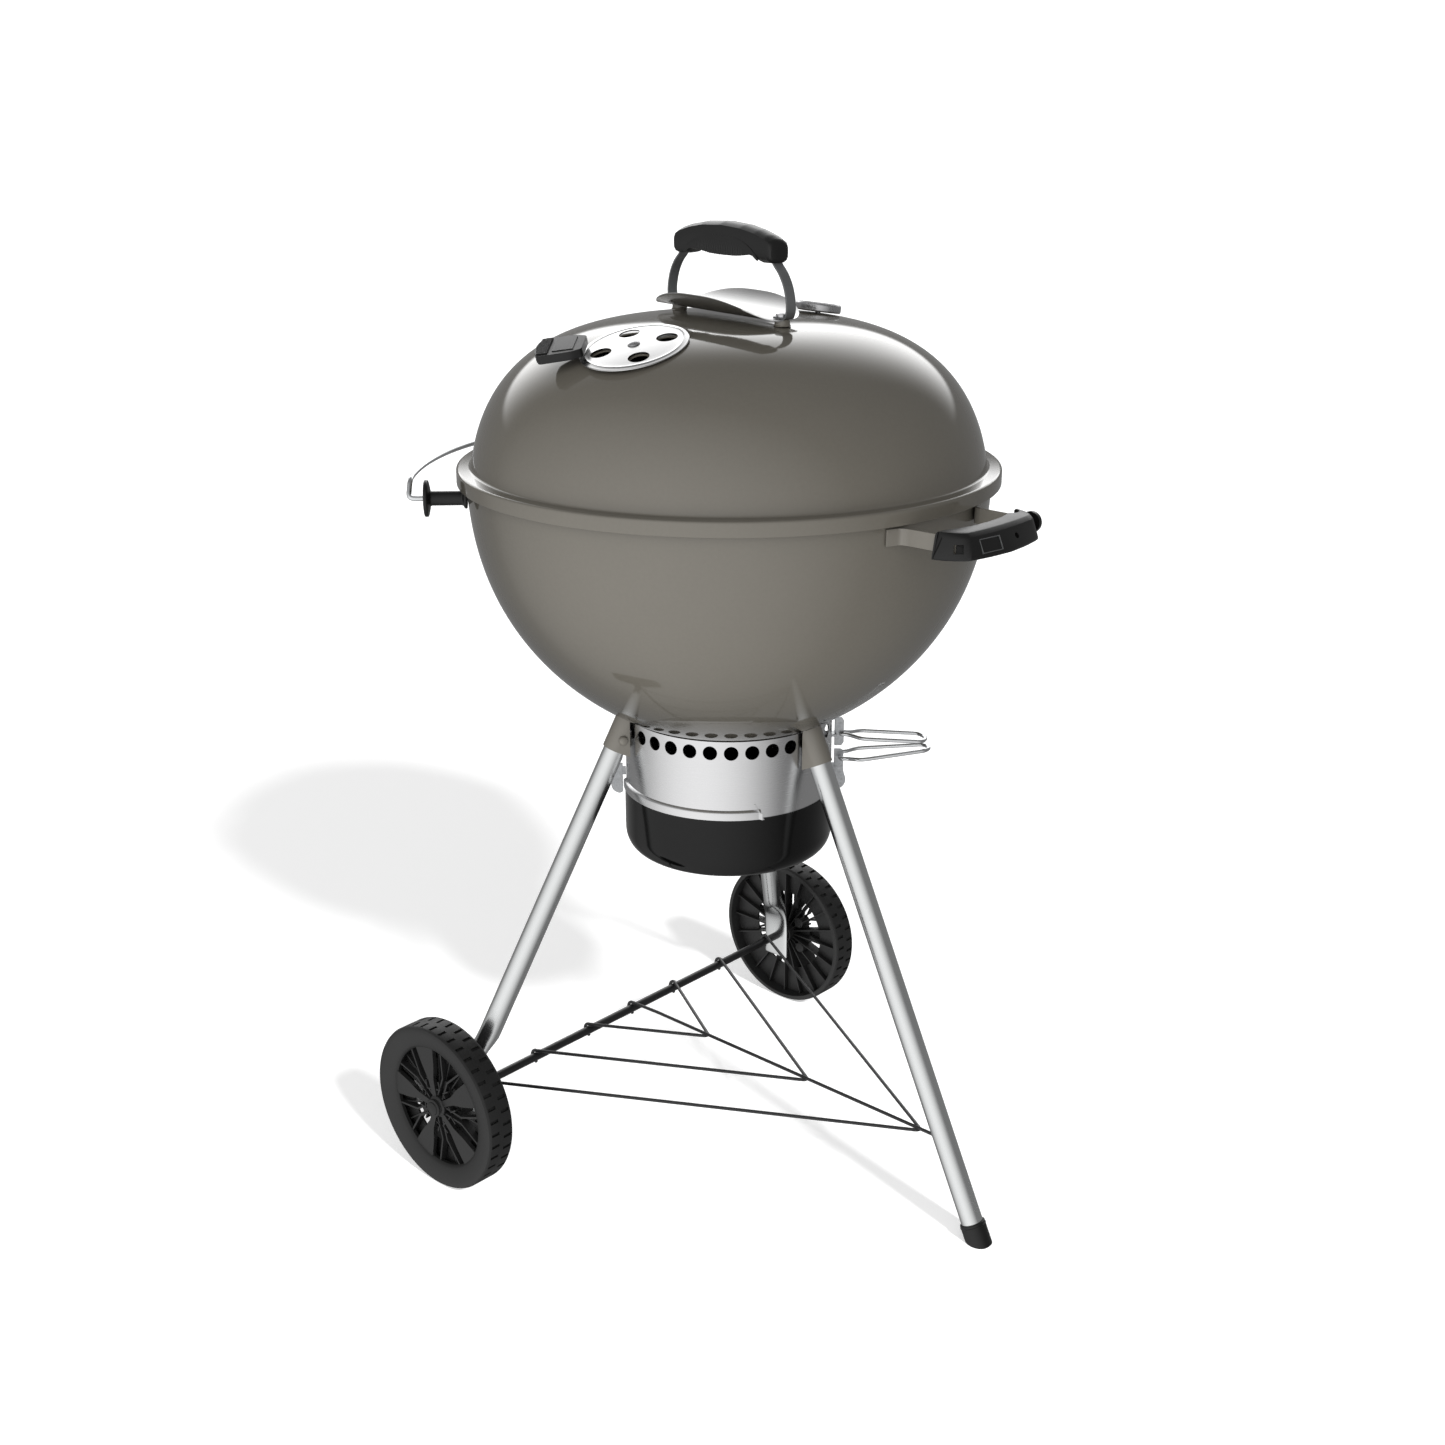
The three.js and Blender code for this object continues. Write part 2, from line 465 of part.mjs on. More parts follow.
// L brackets: one leg follows the bowl's inside wall, the other carries the grate's rim.
const bowlRoom = revolved([[0, 805], ...shellCurve(BOWL, -1, 805, SHEET + GAP, 10), [0, 805]], SHELL_SIDES);
const bracketSkin = revolved([[0, 805], ...shellCurve(BOWL, -1, 805, SHEET + GAP + 2, 10), [0, 805]], SHELL_SIDES);
function grateBrackets(prefix, spec, azimuths) {
  const shelf = spec.z - spec.rim - GAP;
  azimuths.forEach((azimuth, i) => {
    const ledge = common(box(spec.radius - 14, 300, -9, 9, shelf - 2, shelf), bowlRoom);
    const wall = cut(common(box(150, 300, -9, 9, shelf - 22, shelf), bowlRoom), bracketSkin);
    add(`${prefix}_${i + 1}`, turned(join(wall, ledge), azimuth), zinc);
  });
}
grateBrackets('cooking_bracket', COOKING_GRATE, [-90, 0, 90, 180]);
grateBrackets('charcoal_bracket', CHARCOAL_GRATE, [-90, 30, 150]);

// ---- Front handle: two strip arms and a bowed grip ----
const ARM = { z0: 788.5, z1: 805.5, sheet: 2.2 };
for (const [side, sign] of [['right', 1], ['left', -1]]) {
  const root = polar(BOWL.radius + GAP + ARM.sheet / 2, -90 + sign * 16, 0);
  const path = [[root.x, root.y], [sign * 66, -279.6], [sign * 63, -281.8], [sign * 61.5, -288], [sign * 60, -344]];
  add(`handle_arm_${side}`, plate(stripOutline(path, ARM.sheet), ARM.z0, ARM.z1), socketPaint);
}
const gripOutline = [
  [-76, -328], [-74, -344], [-66, -354], [-54, -362], [-28, -368], [0, -370], [28, -368], [54, -362],
  [66, -354], [74, -344], [76, -328], [68, -325], [57, -330.5], [28, -336], [-28, -336], [-57, -330.5], [-68, -325]];
const armSlots = [1, -1].map((sign) =>
  plate(stripOutline([[sign * 60.9, -310], [sign * 60, -344.4]], ARM.sheet + 2 * GAP),
    ARM.z0 - GAP, ARM.z1 + GAP));
const gripBlank = join(plate(gripOutline, 784, 810),
  placed(cylinder(11, 0, 6, 20), vec(75, -341, 797), vec(1, 0, 0), vec(0, 0, 1)));
add('front_grip', cut(gripBlank, ...armSlots), blackPlastic);

// ---- Lid holder: two spools on the bowl and the wire between them ----
const HOLDER = { z: 787, wire: 2.8, bend: 349, discFace: 332 };
for (const [side, azimuth] of [['right', 45], ['left', 135]]) {
  const start = BOWL.radius + GAP;
  const profile = closedProfile([
    [HOLDER.wire + GAP, 0], [11.5, 0.4], [11.5, 3], [7.9, 5], [7.9, HOLDER.discFace - start - 7],
    [14, HOLDER.discFace - start - 6], [20, HOLDER.discFace - start - 4.5], [20, HOLDER.discFace - start - 0.5],
    [HOLDER.wire + GAP, HOLDER.discFace - start]]);
  add(`spool_${side}`, placed(revolved(profile, 20), polar(start, azimuth, HOLDER.z),
    polar(1, azimuth, 0), vec(0, 0, 1)), blackPlastic);
}
const holderArc = Array.from({ length: 15 }, (_, i) => {
  const azimuth = 132.5 - i * (85 / 14);
  const edge = Math.abs(azimuth - 90) / 42.5;
  return polar(HOLDER.bend - 1, azimuth, HOLDER.z + 25 - 7 * edge ** 2);
});
const holderWire = rounded([
  polar(BOWL.radius + 4, 135, HOLDER.z), polar(HOLDER.bend, 135, HOLDER.z), ...holderArc,
  polar(HOLDER.bend, 45, HOLDER.z), polar(BOWL.radius + 4, 45, HOLDER.z)], 7, 2);
add('lid_holder_wire', wire(holderWire, HOLDER.wire, 6), chrome);

// ---- Lid: dome, ledge and skirt, with openings for the vent and the thermometer ----
const lidOuter = shellCurve(LID, 1, LID_LEDGE_Z, 0, 10);
const lidInner = shellCurve(LID, 1, LID_LEDGE_Z, SHEET, 10);
const lidShell = revolved([
  ...lidOuter.slice().reverse(), [291.5, 825.5], [294.2, 824.4], [SKIRT.radius, 822],
  [SKIRT.radius, SKIRT.bottom], [SKIRT.radius - SKIRT.sheet, SKIRT.bottom],
  [SKIRT.radius - SKIRT.sheet, 821.6], [292.4, 823.3], [278.6, 823.3], ...lidInner.slice(1)], SHELL_SIDES);
const ventUp = lidNormal(VENT.radius, VENT.azimuth);
const ventAt = polar(VENT.radius, VENT.azimuth, lidHeight(VENT.radius));
const atVent = (geometry) => placed(geometry, ventAt, ventUp, polar(-1, VENT.azimuth, 0));
const ventHoles = (z0, z1) => [45, 135, 225, 315].map((azimuth) =>
  moved(cylinder(VENT.holeRadius, z0, z1, 12),
    VENT.holeCircle * Math.cos(rad(azimuth)), VENT.holeCircle * Math.sin(rad(azimuth)), 0));
const thermoUp = lidNormal(THERMOMETER.radius, THERMOMETER.azimuth);
const thermoAt = polar(THERMOMETER.radius, THERMOMETER.azimuth, lidHeight(THERMOMETER.radius));
const atThermo = (geometry) => placed(geometry, thermoAt, thermoUp, polar(1, THERMOMETER.azimuth, 0));
add('lid', cut(lidShell, ...ventHoles(-20, 12).map(atVent), atVent(cylinder(3.6, -12, 12, 12)),
  atThermo(cylinder(5.3, -12, 12, 12))), enamel);

// ---- Lid vent: domed disc with a tab, turning on a rivet ----
const ventDome = (r) => 2.6 * (1 - (r / VENT.disc) ** 2);
const discRadii = [VENT.disc, 32];
const ventBase = 0.9;
const discProfile = closedProfile([
  [3.5, ventBase + ventDome(0) - 2.6], ...discRadii.slice().reverse().map((r) => [r, ventBase + ventDome(r) - 2.6]),
  ...discRadii.map((r) => [r, ventBase + 1.3 + ventDome(r) - 2.6]), [3.5, ventBase + 1.3 + ventDome(0) - 2.6]]);
add('vent_disc', cut(atVent(revolved(discProfile, 28)), ...ventHoles(-20, 12).map(atVent)), polished);
const tabTurn = VENT.tabAzimuth - (VENT.azimuth + 180);
const tabOutline = [[49, -17], [60, -22], [94, -24], [99, -12], [100, 0], [99, 12], [94, 24], [60, 22], [49, 17]];
add('vent_tab', atVent(turned(plate(tabOutline, ventBase + 1.7, 13), tabTurn)), blackPlastic);
add('vent_rivet', atVent(revolved([
  [0, -6], [6, -6], [6, -SHEET - GAP - 0.9], [3.1, -SHEET - GAP - 0.9], [3.1, ventBase + 1.3 + GAP],
  [6.5, ventBase + 1.3 + GAP], [6.5, 4], [0, 4.6]], 16)), steel);

// ---- Thermometer: bezel with its probe, dial, needle and lens ----
const bezelWall = THERMOMETER.bezel - 2.2;
add('thermometer_bezel', atThermo(revolved([
  [0, -42], [3, -42], [3, 1.2], [THERMOMETER.bezel - 1, 1.2], [THERMOMETER.bezel, 2.4],
  [THERMOMETER.bezel, 9], [THERMOMETER.bezel - 1.2, 10.4], [bezelWall, 10.4], [bezelWall, 3.2], [0, 3.2]],
28)), chrome);
add('thermometer_dial', atThermo(cylinder(bezelWall - GAP, 3.5, 4.3, 28)), dialWhite);
const needle = join(cylinder(2.2, 4.7, 5.7, 12), plate([[-5, -1], [-5, 1], [17, 0.4], [17, -0.4]], 4.7, 5.7));
add('thermometer_needle', atThermo(turned(needle, 215)), needleRed);
add('thermometer_lens', atThermo(cylinder(bezelWall - GAP, 7.6, 9, 28)), lensGlass);

// ---- Lid handle: straps on bosses, heat shield and grip ----
const BOSS = { reach: 92, radius: 8, shieldZ: 991 };
const handleFrame = (geometry) => placed(geometry, vec(0, 0, 0), polar(-1, LID_HANDLE_AZIMUTH + 90, 0),
  polar(1, LID_HANDLE_AZIMUTH, 0));
const atHandle = (along, across, z) =>
  polar(along, LID_HANDLE_AZIMUTH, z).add(polar(across, LID_HANDLE_AZIMUTH + 90, 0));
const STRAP = { width: 12, sheet: 2.2, footZ: 987.2 };
for (const [side, sign] of [['front', 1], ['rear', -1]]) {
  const foot = atHandle(sign * BOSS.reach, 0, 0);
  const base = cut(moved(cylinder(BOSS.radius, 960, STRAP.footZ - 1.4, 20), foot.x, foot.y, 0),
    revolved([[0, 900], ...shellCurve(LID, 1, LID_LEDGE_Z, -GAP, 10), [0, 900]].reverse(), SHELL_SIDES));
  add(`handle_boss_${side}`, base, socketPaint);
  const path = [[sign * 84, 0], [sign * 103, 0], [sign * 106, 4], [sign * 105.4, 18], [sign * 101, 32],
    [sign * 93, 44], [sign * 83, 53], [sign * 79, 62]];
  const strap = handleFrame(
    plate(stripOutline(path.map(([x, z]) => [x, STRAP.footZ + z]), STRAP.sheet),
      -STRAP.width / 2, STRAP.width / 2));
  add(`handle_strap_${side}`, strap, strapMetal);
}
const gripProfile = [
  [-86.5, 1043], [-86.5, 1060], [-80, 1066.5], [-58, 1072.5], [-34, 1076.5], [0, 1078.5], [34, 1076.5],
  [58, 1072.5], [80, 1066.5], [86.5, 1060], [86.5, 1043], [85.5, 1041], [66, 1041], [57, 1046], [20, 1043.5],
  [-20, 1043.5], [-57, 1046], [-66, 1041], [-85.5, 1041]];
const strapSlots = [1, -1].map((sign) =>
  plate(stripOutline([[87, 49.4], [83, 53], [78.7, 62.7]].map(([x, z]) => [sign * x, STRAP.footZ + z]),
    STRAP.sheet + 2 * GAP), -STRAP.width / 2 - GAP, STRAP.width / 2 + GAP));
// The heat shield is a shallow dish whose long sides turn up under the grip.
const SHIELD = { halfLength: 82.5, halfWidth: 42, z: 986.6, rise: 18, sheet: 1.2 };
const shield = new THREE.BoxGeometry(2, 1, 2, 8, 1, 6);
const shieldPosition = shield.attributes.position;
for (let i = 0; i < shieldPosition.count; i++) {
  const [x, y, z] = [shieldPosition.getX(i), shieldPosition.getY(i), shieldPosition.getZ(i)];
  const u = x * Math.sqrt(1 - z * z * 0.42);
  const v = z * Math.sqrt(1 - x * x * 0.42);
  shieldPosition.setXYZ(i, SHIELD.halfLength * u,
    SHIELD.z + SHIELD.rise * (1 - u * u) * v * v + SHIELD.sheet * y, SHIELD.halfWidth * v);
}
add('heat_shield', handleFrame(toGeometry(toSolid(shield))), polished);
add('lid_grip', handleFrame(cut(plate(gripProfile, -12.5, 12.5), ...strapSlots)), blackPlastic);

grill.name = 'kettle_grill';
export default grill;
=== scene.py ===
"""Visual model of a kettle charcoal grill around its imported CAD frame. Blender 4.5, metres."""
import math

import bmesh
import bpy
from mathutils import Matrix, Vector


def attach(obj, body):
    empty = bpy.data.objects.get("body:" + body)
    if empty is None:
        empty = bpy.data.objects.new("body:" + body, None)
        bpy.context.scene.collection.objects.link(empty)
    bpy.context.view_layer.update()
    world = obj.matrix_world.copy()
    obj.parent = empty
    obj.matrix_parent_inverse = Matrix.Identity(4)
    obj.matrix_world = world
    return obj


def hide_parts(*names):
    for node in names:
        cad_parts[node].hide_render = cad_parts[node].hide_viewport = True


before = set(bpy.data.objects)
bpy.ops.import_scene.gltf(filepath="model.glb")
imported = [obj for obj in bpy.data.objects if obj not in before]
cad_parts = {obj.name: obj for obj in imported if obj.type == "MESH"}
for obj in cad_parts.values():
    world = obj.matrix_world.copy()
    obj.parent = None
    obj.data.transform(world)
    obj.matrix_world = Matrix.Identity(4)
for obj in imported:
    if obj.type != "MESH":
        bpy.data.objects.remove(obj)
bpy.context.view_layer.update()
scene = bpy.context.scene

# Shapes are drawn in millimetres about the bowl's axis, which stands at y = 19.5 mm in the row frame.
TO_ROW_FRAME = Matrix.Scale(0.001, 4) @ Matrix.Translation((0, 19.5, 0))

BOWL = {"radius": 284.7, "depth": 315.7, "equator": 826.5, "width_power": 1.745, "depth_power": 2.313}
LID = {"radius": 282.0, "depth": 204.7, "equator": 776.3, "width_power": 3.256, "depth_power": 2.404}
SHEET = 1.6
LEG_AZIMUTHS = {"front": -90, "right": 30, "left": 150}
AXLE_Y, AXLE_Z = 163.2, 99.3
LEVER_AZIMUTH = -45
LID_HANDLE_AZIMUTH = -102

# ---- Camera, light and floor ----
camera = bpy.data.objects.new("camera", bpy.data.cameras.new("camera"))
camera.data.sensor_width = 36
camera.data.lens = 45.91
view_axes = Matrix((
    (0.66877, -0.74347, 0.0), (0.245434, 0.220774, 0.943939), (-0.70179, -0.631278, 0.33012))).transposed()
camera.matrix_world = Matrix.Translation((-1.4842, -1.3061, 1.2187)) @ view_axes.to_4x4()
scene.collection.objects.link(camera)
scene.camera = camera
scene.view_settings.view_transform = "Standard"


def direction(azimuth, elevation):
    a, e = math.radians(azimuth), math.radians(elevation)
    return Vector((math.cos(a) * math.cos(e), math.sin(a) * math.cos(e), math.sin(e)))


# The room's two gradients: azimuth and elevation in degrees, how tight they are and how strong.
LIGHTING_GLOW = (-163, -20, 1.0, 2.3)
MIRRORED_GLOW = (-170, -12, 1.0, 1.15)
ROOM_LIGHT = 0.27
BACKDROP = 1.1
# The soft box fades in and out between pairs of heights (sine of the elevation) and azimuths (radians).
BOX_FOOT, BOX_HEAD = (0.17, 0.23), (0.90, 0.28)
BOX_NEAR, BOX_FAR = (-0.2, 0.42), (1.75, 1.1)
BOX_GAIN = 2.9


def studio():
    """A white room with a large soft source to the left: one gradient lights, another is reflected."""
    world = bpy.data.worlds.new("studio")
    world.use_nodes = True
    nodes, links = world.node_tree.nodes, world.node_tree.links
    towards = nodes.new("ShaderNodeTexCoord").outputs["Generated"]
    path = nodes.new("ShaderNodeLightPath")

    def math_node(operation, first, second, third=0.0):
        node = nodes.new("ShaderNodeMath")
        node.operation = operation
        for socket, value in zip(node.inputs, (first, second, third)):
            if isinstance(value, float):
                socket.default_value = value
            else:
                links.new(value, socket)
        return node.outputs["Value"]

    def band(value, low, high):
        node = nodes.new("ShaderNodeMapRange")
        node.interpolation_type = "SMOOTHSTEP"
        node.inputs["From Min"].default_value = low
        node.inputs["From Max"].default_value = high
        links.new(value, node.inputs["Value"])
        return node.outputs["Result"]

    def glow(azimuth, elevation, power, gain):
        facing = nodes.new("ShaderNodeVectorMath")
        facing.operation = "DOT_PRODUCT"
        facing.inputs[1].default_value = direction(azimuth, elevation)
        links.new(towards, facing.inputs[0])
        cosine = math_node("MAXIMUM", facing.outputs["Value"], 0.0)
        return math_node("MULTIPLY", math_node("POWER", cosine, power), gain)

    # A tall soft box behind the grill: a crisp lower edge, fading upwards and to both sides.
    split = nodes.new("ShaderNodeSeparateXYZ")
    links.new(towards, split.inputs[0])
    height = split.outputs["Z"]
    azimuth = math_node("ARCTAN2", split.outputs["Y"], split.outputs["X"])
    upright = math_node("MULTIPLY", band(height, *BOX_FOOT), band(height, *BOX_HEAD))
    across = math_node("MULTIPLY", band(azimuth, *BOX_NEAR), band(azimuth, *BOX_FAR))
    soft_box = math_node("MULTIPLY", math_node("MULTIPLY", upright, across), BOX_GAIN)
    lighting = math_node("ADD", glow(*LIGHTING_GLOW), ROOM_LIGHT)
    mirrored = math_node("ADD", math_node("ADD", glow(*MIRRORED_GLOW), soft_box), ROOM_LIGHT)
    diffuse = path.outputs["Is Diffuse Ray"]
    not_diffuse = math_node("SUBTRACT", 1.0, diffuse)
    seen = math_node("ADD", math_node("MULTIPLY", diffuse, lighting),
                     math_node("MULTIPLY", not_diffuse, mirrored))
    strength = math_node("MAXIMUM", seen, math_node("MULTIPLY", path.outputs["Is Camera Ray"], BACKDROP))
    links.new(strength, nodes["Background"].inputs["Strength"])
    nodes["Background"].inputs["Color"].default_value = (1, 1, 1, 1)
    return world


scene.world = studio()


def sun(name, azimuth, elevation, power, spread, lights_only):
    """A sun that lights one collection and nothing else."""
    data = bpy.data.lights.new(name, "SUN")
    data.energy = power
    data.angle = spread
    obj = bpy.data.objects.new(name, data)
    obj.rotation_mode = "QUATERNION"
    obj.rotation_quaternion = direction(azimuth, elevation).to_track_quat("Z", "Y")
    scene.collection.objects.link(obj)
    obj.light_linking.receiver_collection = lights_only


# ---- Materials: every finish is procedural and scaled in metres ----
def finish(name, colour, roughness, metallic=0.0, mottle=0.05, patch=12.0, stretch=(1, 1, 1),
           spread=0.04, grain=900.0, relief=0.00003, depth=0.25, **sockets):
    """A Principled finish whose colour, roughness and relief vary with noise.

    patch and grain are the sizes of the slow and the fine pattern, per metre. stretch squeezes the
    fine pattern into streaks. relief is the height of the fine pattern in metres.
    """
    made = bpy.data.materials.new(name)
    made.use_nodes = True
    made.diffuse_color = (*colour, 1)
    nodes, links = made.node_tree.nodes, made.node_tree.links
    shader = nodes["Principled BSDF"]
    shader.inputs["Metallic"].default_value = metallic
    for socket, value in sockets.items():
        shader.inputs[socket.replace("_", " ")].default_value = value
    place = nodes.new("ShaderNodeTexCoord")
    squeeze = nodes.new("ShaderNodeMapping")
    squeeze.inputs["Scale"].default_value = stretch
    links.new(place.outputs["Object"], squeeze.inputs["Vector"])

    def cloud(scale, detail, source):
        cloud_node = nodes.new("ShaderNodeTexNoise")
        cloud_node.inputs["Scale"].default_value = scale
        cloud_node.inputs["Detail"].default_value = detail
        links.new(source, cloud_node.inputs["Vector"])
        return cloud_node.outputs["Fac"]

    slow = cloud(patch, 3, place.outputs["Object"])
    fine = cloud(grain, 2, squeeze.outputs["Vector"])
    both = nodes.new("ShaderNodeMix")
    both.inputs["Factor"].default_value = 0.5
    links.new(slow, both.inputs["A"])
    links.new(fine, both.inputs["B"])
    ramp = nodes.new("ShaderNodeValToRGB")
    ramp.color_ramp.elements[0].position = 0.3
    ramp.color_ramp.elements[1].position = 0.7
    ramp.color_ramp.elements[0].color = (*[c * (1 - mottle) for c in colour], 1)
    ramp.color_ramp.elements[1].color = (*[min(1, c * (1 + mottle)) for c in colour], 1)
    links.new(both.outputs["Result"], ramp.inputs["Fac"])
    links.new(ramp.outputs["Color"], shader.inputs["Base Color"])
    rough = nodes.new("ShaderNodeMapRange")
    rough.inputs["From Min"].default_value = 0.3
    rough.inputs["From Max"].default_value = 0.7
    rough.inputs["To Min"].default_value = max(0.02, roughness - spread)
    rough.inputs["To Max"].default_value = roughness + spread
    links.new(both.outputs["Result"], rough.inputs["Value"])
    links.new(rough.outputs["Result"], shader.inputs["Roughness"])
    bump = nodes.new("ShaderNodeBump")
    bump.inputs["Strength"].default_value = depth
    bump.inputs["Distance"].default_value = relief
    links.new(fine, bump.inputs["Height"])
    links.new(bump.outputs["Normal"], shader.inputs["Normal"])
    return made


ENAMEL = finish("porcelain_enamel", (0.150, 0.139, 0.117), 0.07, mottle=0.03, patch=9, spread=0.02,
                grain=260, relief=0.00006, depth=0.12)
PAINT = finish("taupe_paint_finish", (0.176, 0.164, 0.141), 0.36, mottle=0.05, patch=30, grain=1500, depth=0.3)
LEG_METAL = finish("satin_leg", (0.60, 0.61, 0.61), 0.24, 1.0, mottle=0.04, patch=9, stretch=(1, 1, 0.02),
                   spread=0.04, grain=1800, relief=0.00001, depth=0.1)
RING_METAL = finish("brushed_ring", (0.60, 0.60, 0.605), 0.26, 1.0, mottle=0.04, patch=9,
                    stretch=(0.02, 0.02, 1), spread=0.03, grain=2600, relief=0.00001, depth=0.04)
ZINC = finish("galvanised_plate", (0.40, 0.41, 0.42), 0.42, 1.0, mottle=0.35, patch=120, spread=0.12, grain=420,
              depth=0.3)
BRIGHT_WIRE = finish("bright_wire", (0.60, 0.61, 0.62), 0.16, 1.0, mottle=0.08, patch=60, spread=0.05, grain=700)
PAN_ENAMEL = finish("black_enamel_finish", (0.005, 0.005, 0.005), 0.1, mottle=0.2, patch=14, spread=0.03,
                    grain=300, relief=0.00006, depth=0.12, Specular_IOR_Level=0.22)
WIRE_COAT = finish("coated_wire", (0.013, 0.013, 0.014), 0.38, mottle=0.2, patch=60, grain=1800, depth=0.35)
PLASTIC = finish("moulded_plastic", (0.011, 0.011, 0.011), 0.34, mottle=0.12, patch=40, grain=2600,
                 relief=0.00005, depth=0.4, Specular_IOR_Level=0.28)
WHEEL_PLASTIC = finish("wheel_plastic", (0.020, 0.020, 0.020), 0.5, mottle=0.15, patch=30, grain=2200,
                       relief=0.00006, depth=0.5, Specular_IOR_Level=0.3)
STRAP_METAL = finish("strap_finish", (0.17, 0.175, 0.178), 0.42, 0.5, mottle=0.12, patch=60, grain=1400, depth=0.3)
STEEL = finish("plain_steel", (0.48, 0.48, 0.49), 0.3, 1.0, mottle=0.12, patch=50, spread=0.1, grain=900)
POLISHED = finish("polished_sheet", (0.56, 0.56, 0.56), 0.2, 1.0, mottle=0.03, patch=25, stretch=(1, 0.03, 1),
                  spread=0.04, grain=1500, depth=0.12)
DIAL = finish("dial_enamel", (0.80, 0.80, 0.77), 0.4, mottle=0.03, patch=60)
DIAL_MARKS = finish("dial_marks", (0.02, 0.02, 0.02), 0.5, mottle=0.1, patch=200)
NEEDLE = finish("needle_paint", (0.45, 0.02, 0.012), 0.4, mottle=0.1, patch=200)
LENS = finish("lens_glass_finish", (0.95, 0.97, 0.97), 0.04, mottle=0.01, spread=0.01, depth=0.05,
              Transmission_Weight=1.0)
FLOOR = finish("pale_floor", (0.80, 0.80, 0.80), 0.9, mottle=0.0, patch=1, depth=0.0,
               Emission_Color=(1, 1, 1, 1), Emission_Strength=0.42, Specular_IOR_Level=0.0)

floor_mesh = bpy.data.meshes.new("floor")
floor_reach = 40
floor_mesh.from_pydata([(x * floor_reach, y * floor_reach, 0) for x, y in ((-1, -1), (1, -1), (1, 1), (-1, 1))],
                       [], [(0, 1, 2, 3)])
floor_mesh.materials.append(FLOOR)
floor = bpy.data.objects.new("floor", floor_mesh)
scene.collection.objects.link(floor)
floor.visible_diffuse = floor.visible_glossy = False

floor_only = bpy.data.collections.new("floor_only")
floor_only.objects.link(floor)
sun("key", -106, 35.5, 3.4, 0.1, floor_only)


# ---- Mesh helpers: each returns a bmesh in millimetres ----
ON_AXIS = 1e-6


def polar(radius, azimuth, z):
    a = math.radians(azimuth)
    return Vector((radius * math.cos(a), radius * math.sin(a), z))


def turned(azimuth):
    return Matrix.Rotation(math.radians(azimuth), 4, "Z")


def placed(origin, z_axis, x_hint):
    """A frame at a point, with its own Z and X turned to the given directions."""
    z = Vector(z_axis).normalized()
    y = z.cross(Vector(x_hint)).normalized()
    return Matrix.Translation(origin) @ Matrix((y.cross(z), y, z)).transposed().to_4x4()


def bridge(shape, rows, closed_rows=True, closed_ring=False):
    """Faces between rows of vertices. A row of one vertex is a tip."""
    pairs = list(zip(rows, rows[1:])) + ([(rows[-1], rows[0])] if closed_ring else [])
    for a, b in pairs:
        n = max(len(a), len(b))
        for i in range(n if closed_rows else n - 1):
            j = (i + 1) % n
            corners = [a[i % len(a)], a[j % len(a)], b[j % len(b)], b[i % len(b)]]
            face = list(dict.fromkeys(corners))
            if len(face) > 2:
                shape.faces.new(face)
    return shape


def lathe(profile, segments=96, start=0.0, end=360.0):
    """Spins [radius, z] points about Z. A profile that leaves the axis open is a closed loop.

    A part turn gets end faces.
    """
    shape = bmesh.new()
    whole = end - start >= 360
    count = segments if whole else segments + 1
    angles = [start + (end - start) * i / segments for i in range(count)]
    rows = [[shape.verts.new(polar(r, a, z)) for a in angles] if r > ON_AXIS else [shape.verts.new((0, 0, z))]
            for r, z in profile]
    both_ends_on_axis = len(rows[0]) == len(rows[-1]) == 1
    bridge(shape, rows, whole, not both_ends_on_axis)
    if not whole:
        shape.faces.new([row[0] for row in rows])
        shape.faces.new([row[-1] for row in reversed(rows)])
    return shape


def prism(outline, z0, z1):
    shape = bmesh.new()
    bottom = [shape.verts.new((x, y, z0)) for x, y in outline]
    top = [shape.verts.new((x, y, z1)) for x, y in outline]
    bridge(shape, [bottom, top])
    shape.faces.new(list(reversed(bottom)))
    shape.faces.new(top)
    return shape


def block(x0, x1, y0, y1, z0, z1):
    return prism([(x0, y0), (x1, y0), (x1, y1), (x0, y1)], z0, z1)


def loft(sections):
    """Joins closed sections with the same number of points and caps both ends."""
    shape = bmesh.new()
    rows = [[shape.verts.new(p) for p in section] for section in sections]
    bridge(shape, rows)
    shape.faces.new(list(reversed(rows[0])))
    shape.faces.new(rows[-1])
    return shape


def tube(points, radius, sides=12, closed=False):
    """A round bar along a path, with eased ends."""
    points = [Vector(p) for p in points]
    n = len(points)
    tangents = []
    for i in range(n):
        before = points[i - 1] if i or closed else points[i]
        after = points[(i + 1) % n] if i < n - 1 or closed else points[i]
        tangents.append((after - before).normalized())
    side = tangents[0].orthogonal().normalized()
    rings = []
    for i, (point, tangent) in enumerate(zip(points, tangents)):
        if i:
            side = tangents[i - 1].rotation_difference(tangent) @ side
        side = (side - tangent * side.dot(tangent)).normalized()
        rings.append((point, side.copy(), tangent.cross(side)))
    shape = bmesh.new()

    def row(point, u, v, r):
        return [shape.verts.new(point + u * (r * math.cos(t)) + v * (r * math.sin(t)))
                for t in (2 * math.pi * k / sides for k in range(sides))]

    if closed:
        return bridge(shape, [row(*ring, radius) for ring in rings], True, True)
    inset, tip = 0.3 * radius, 0.72 * radius
    (first, *first_axes), (last, *last_axes) = rings[0], rings[-1]
    eased = [(first, *first_axes, tip), (first + tangents[0] * inset, *first_axes, radius)]
    eased += [(*ring, radius) for ring in rings[1:-1]]
    eased += [(last - tangents[-1] * inset, *last_axes, radius), (last, *last_axes, tip)]
    rows = [row(*ring) for ring in eased]
    bridge(shape, rows)
    shape.faces.new(list(reversed(rows[0])))
    shape.faces.new(rows[-1])
    return shape


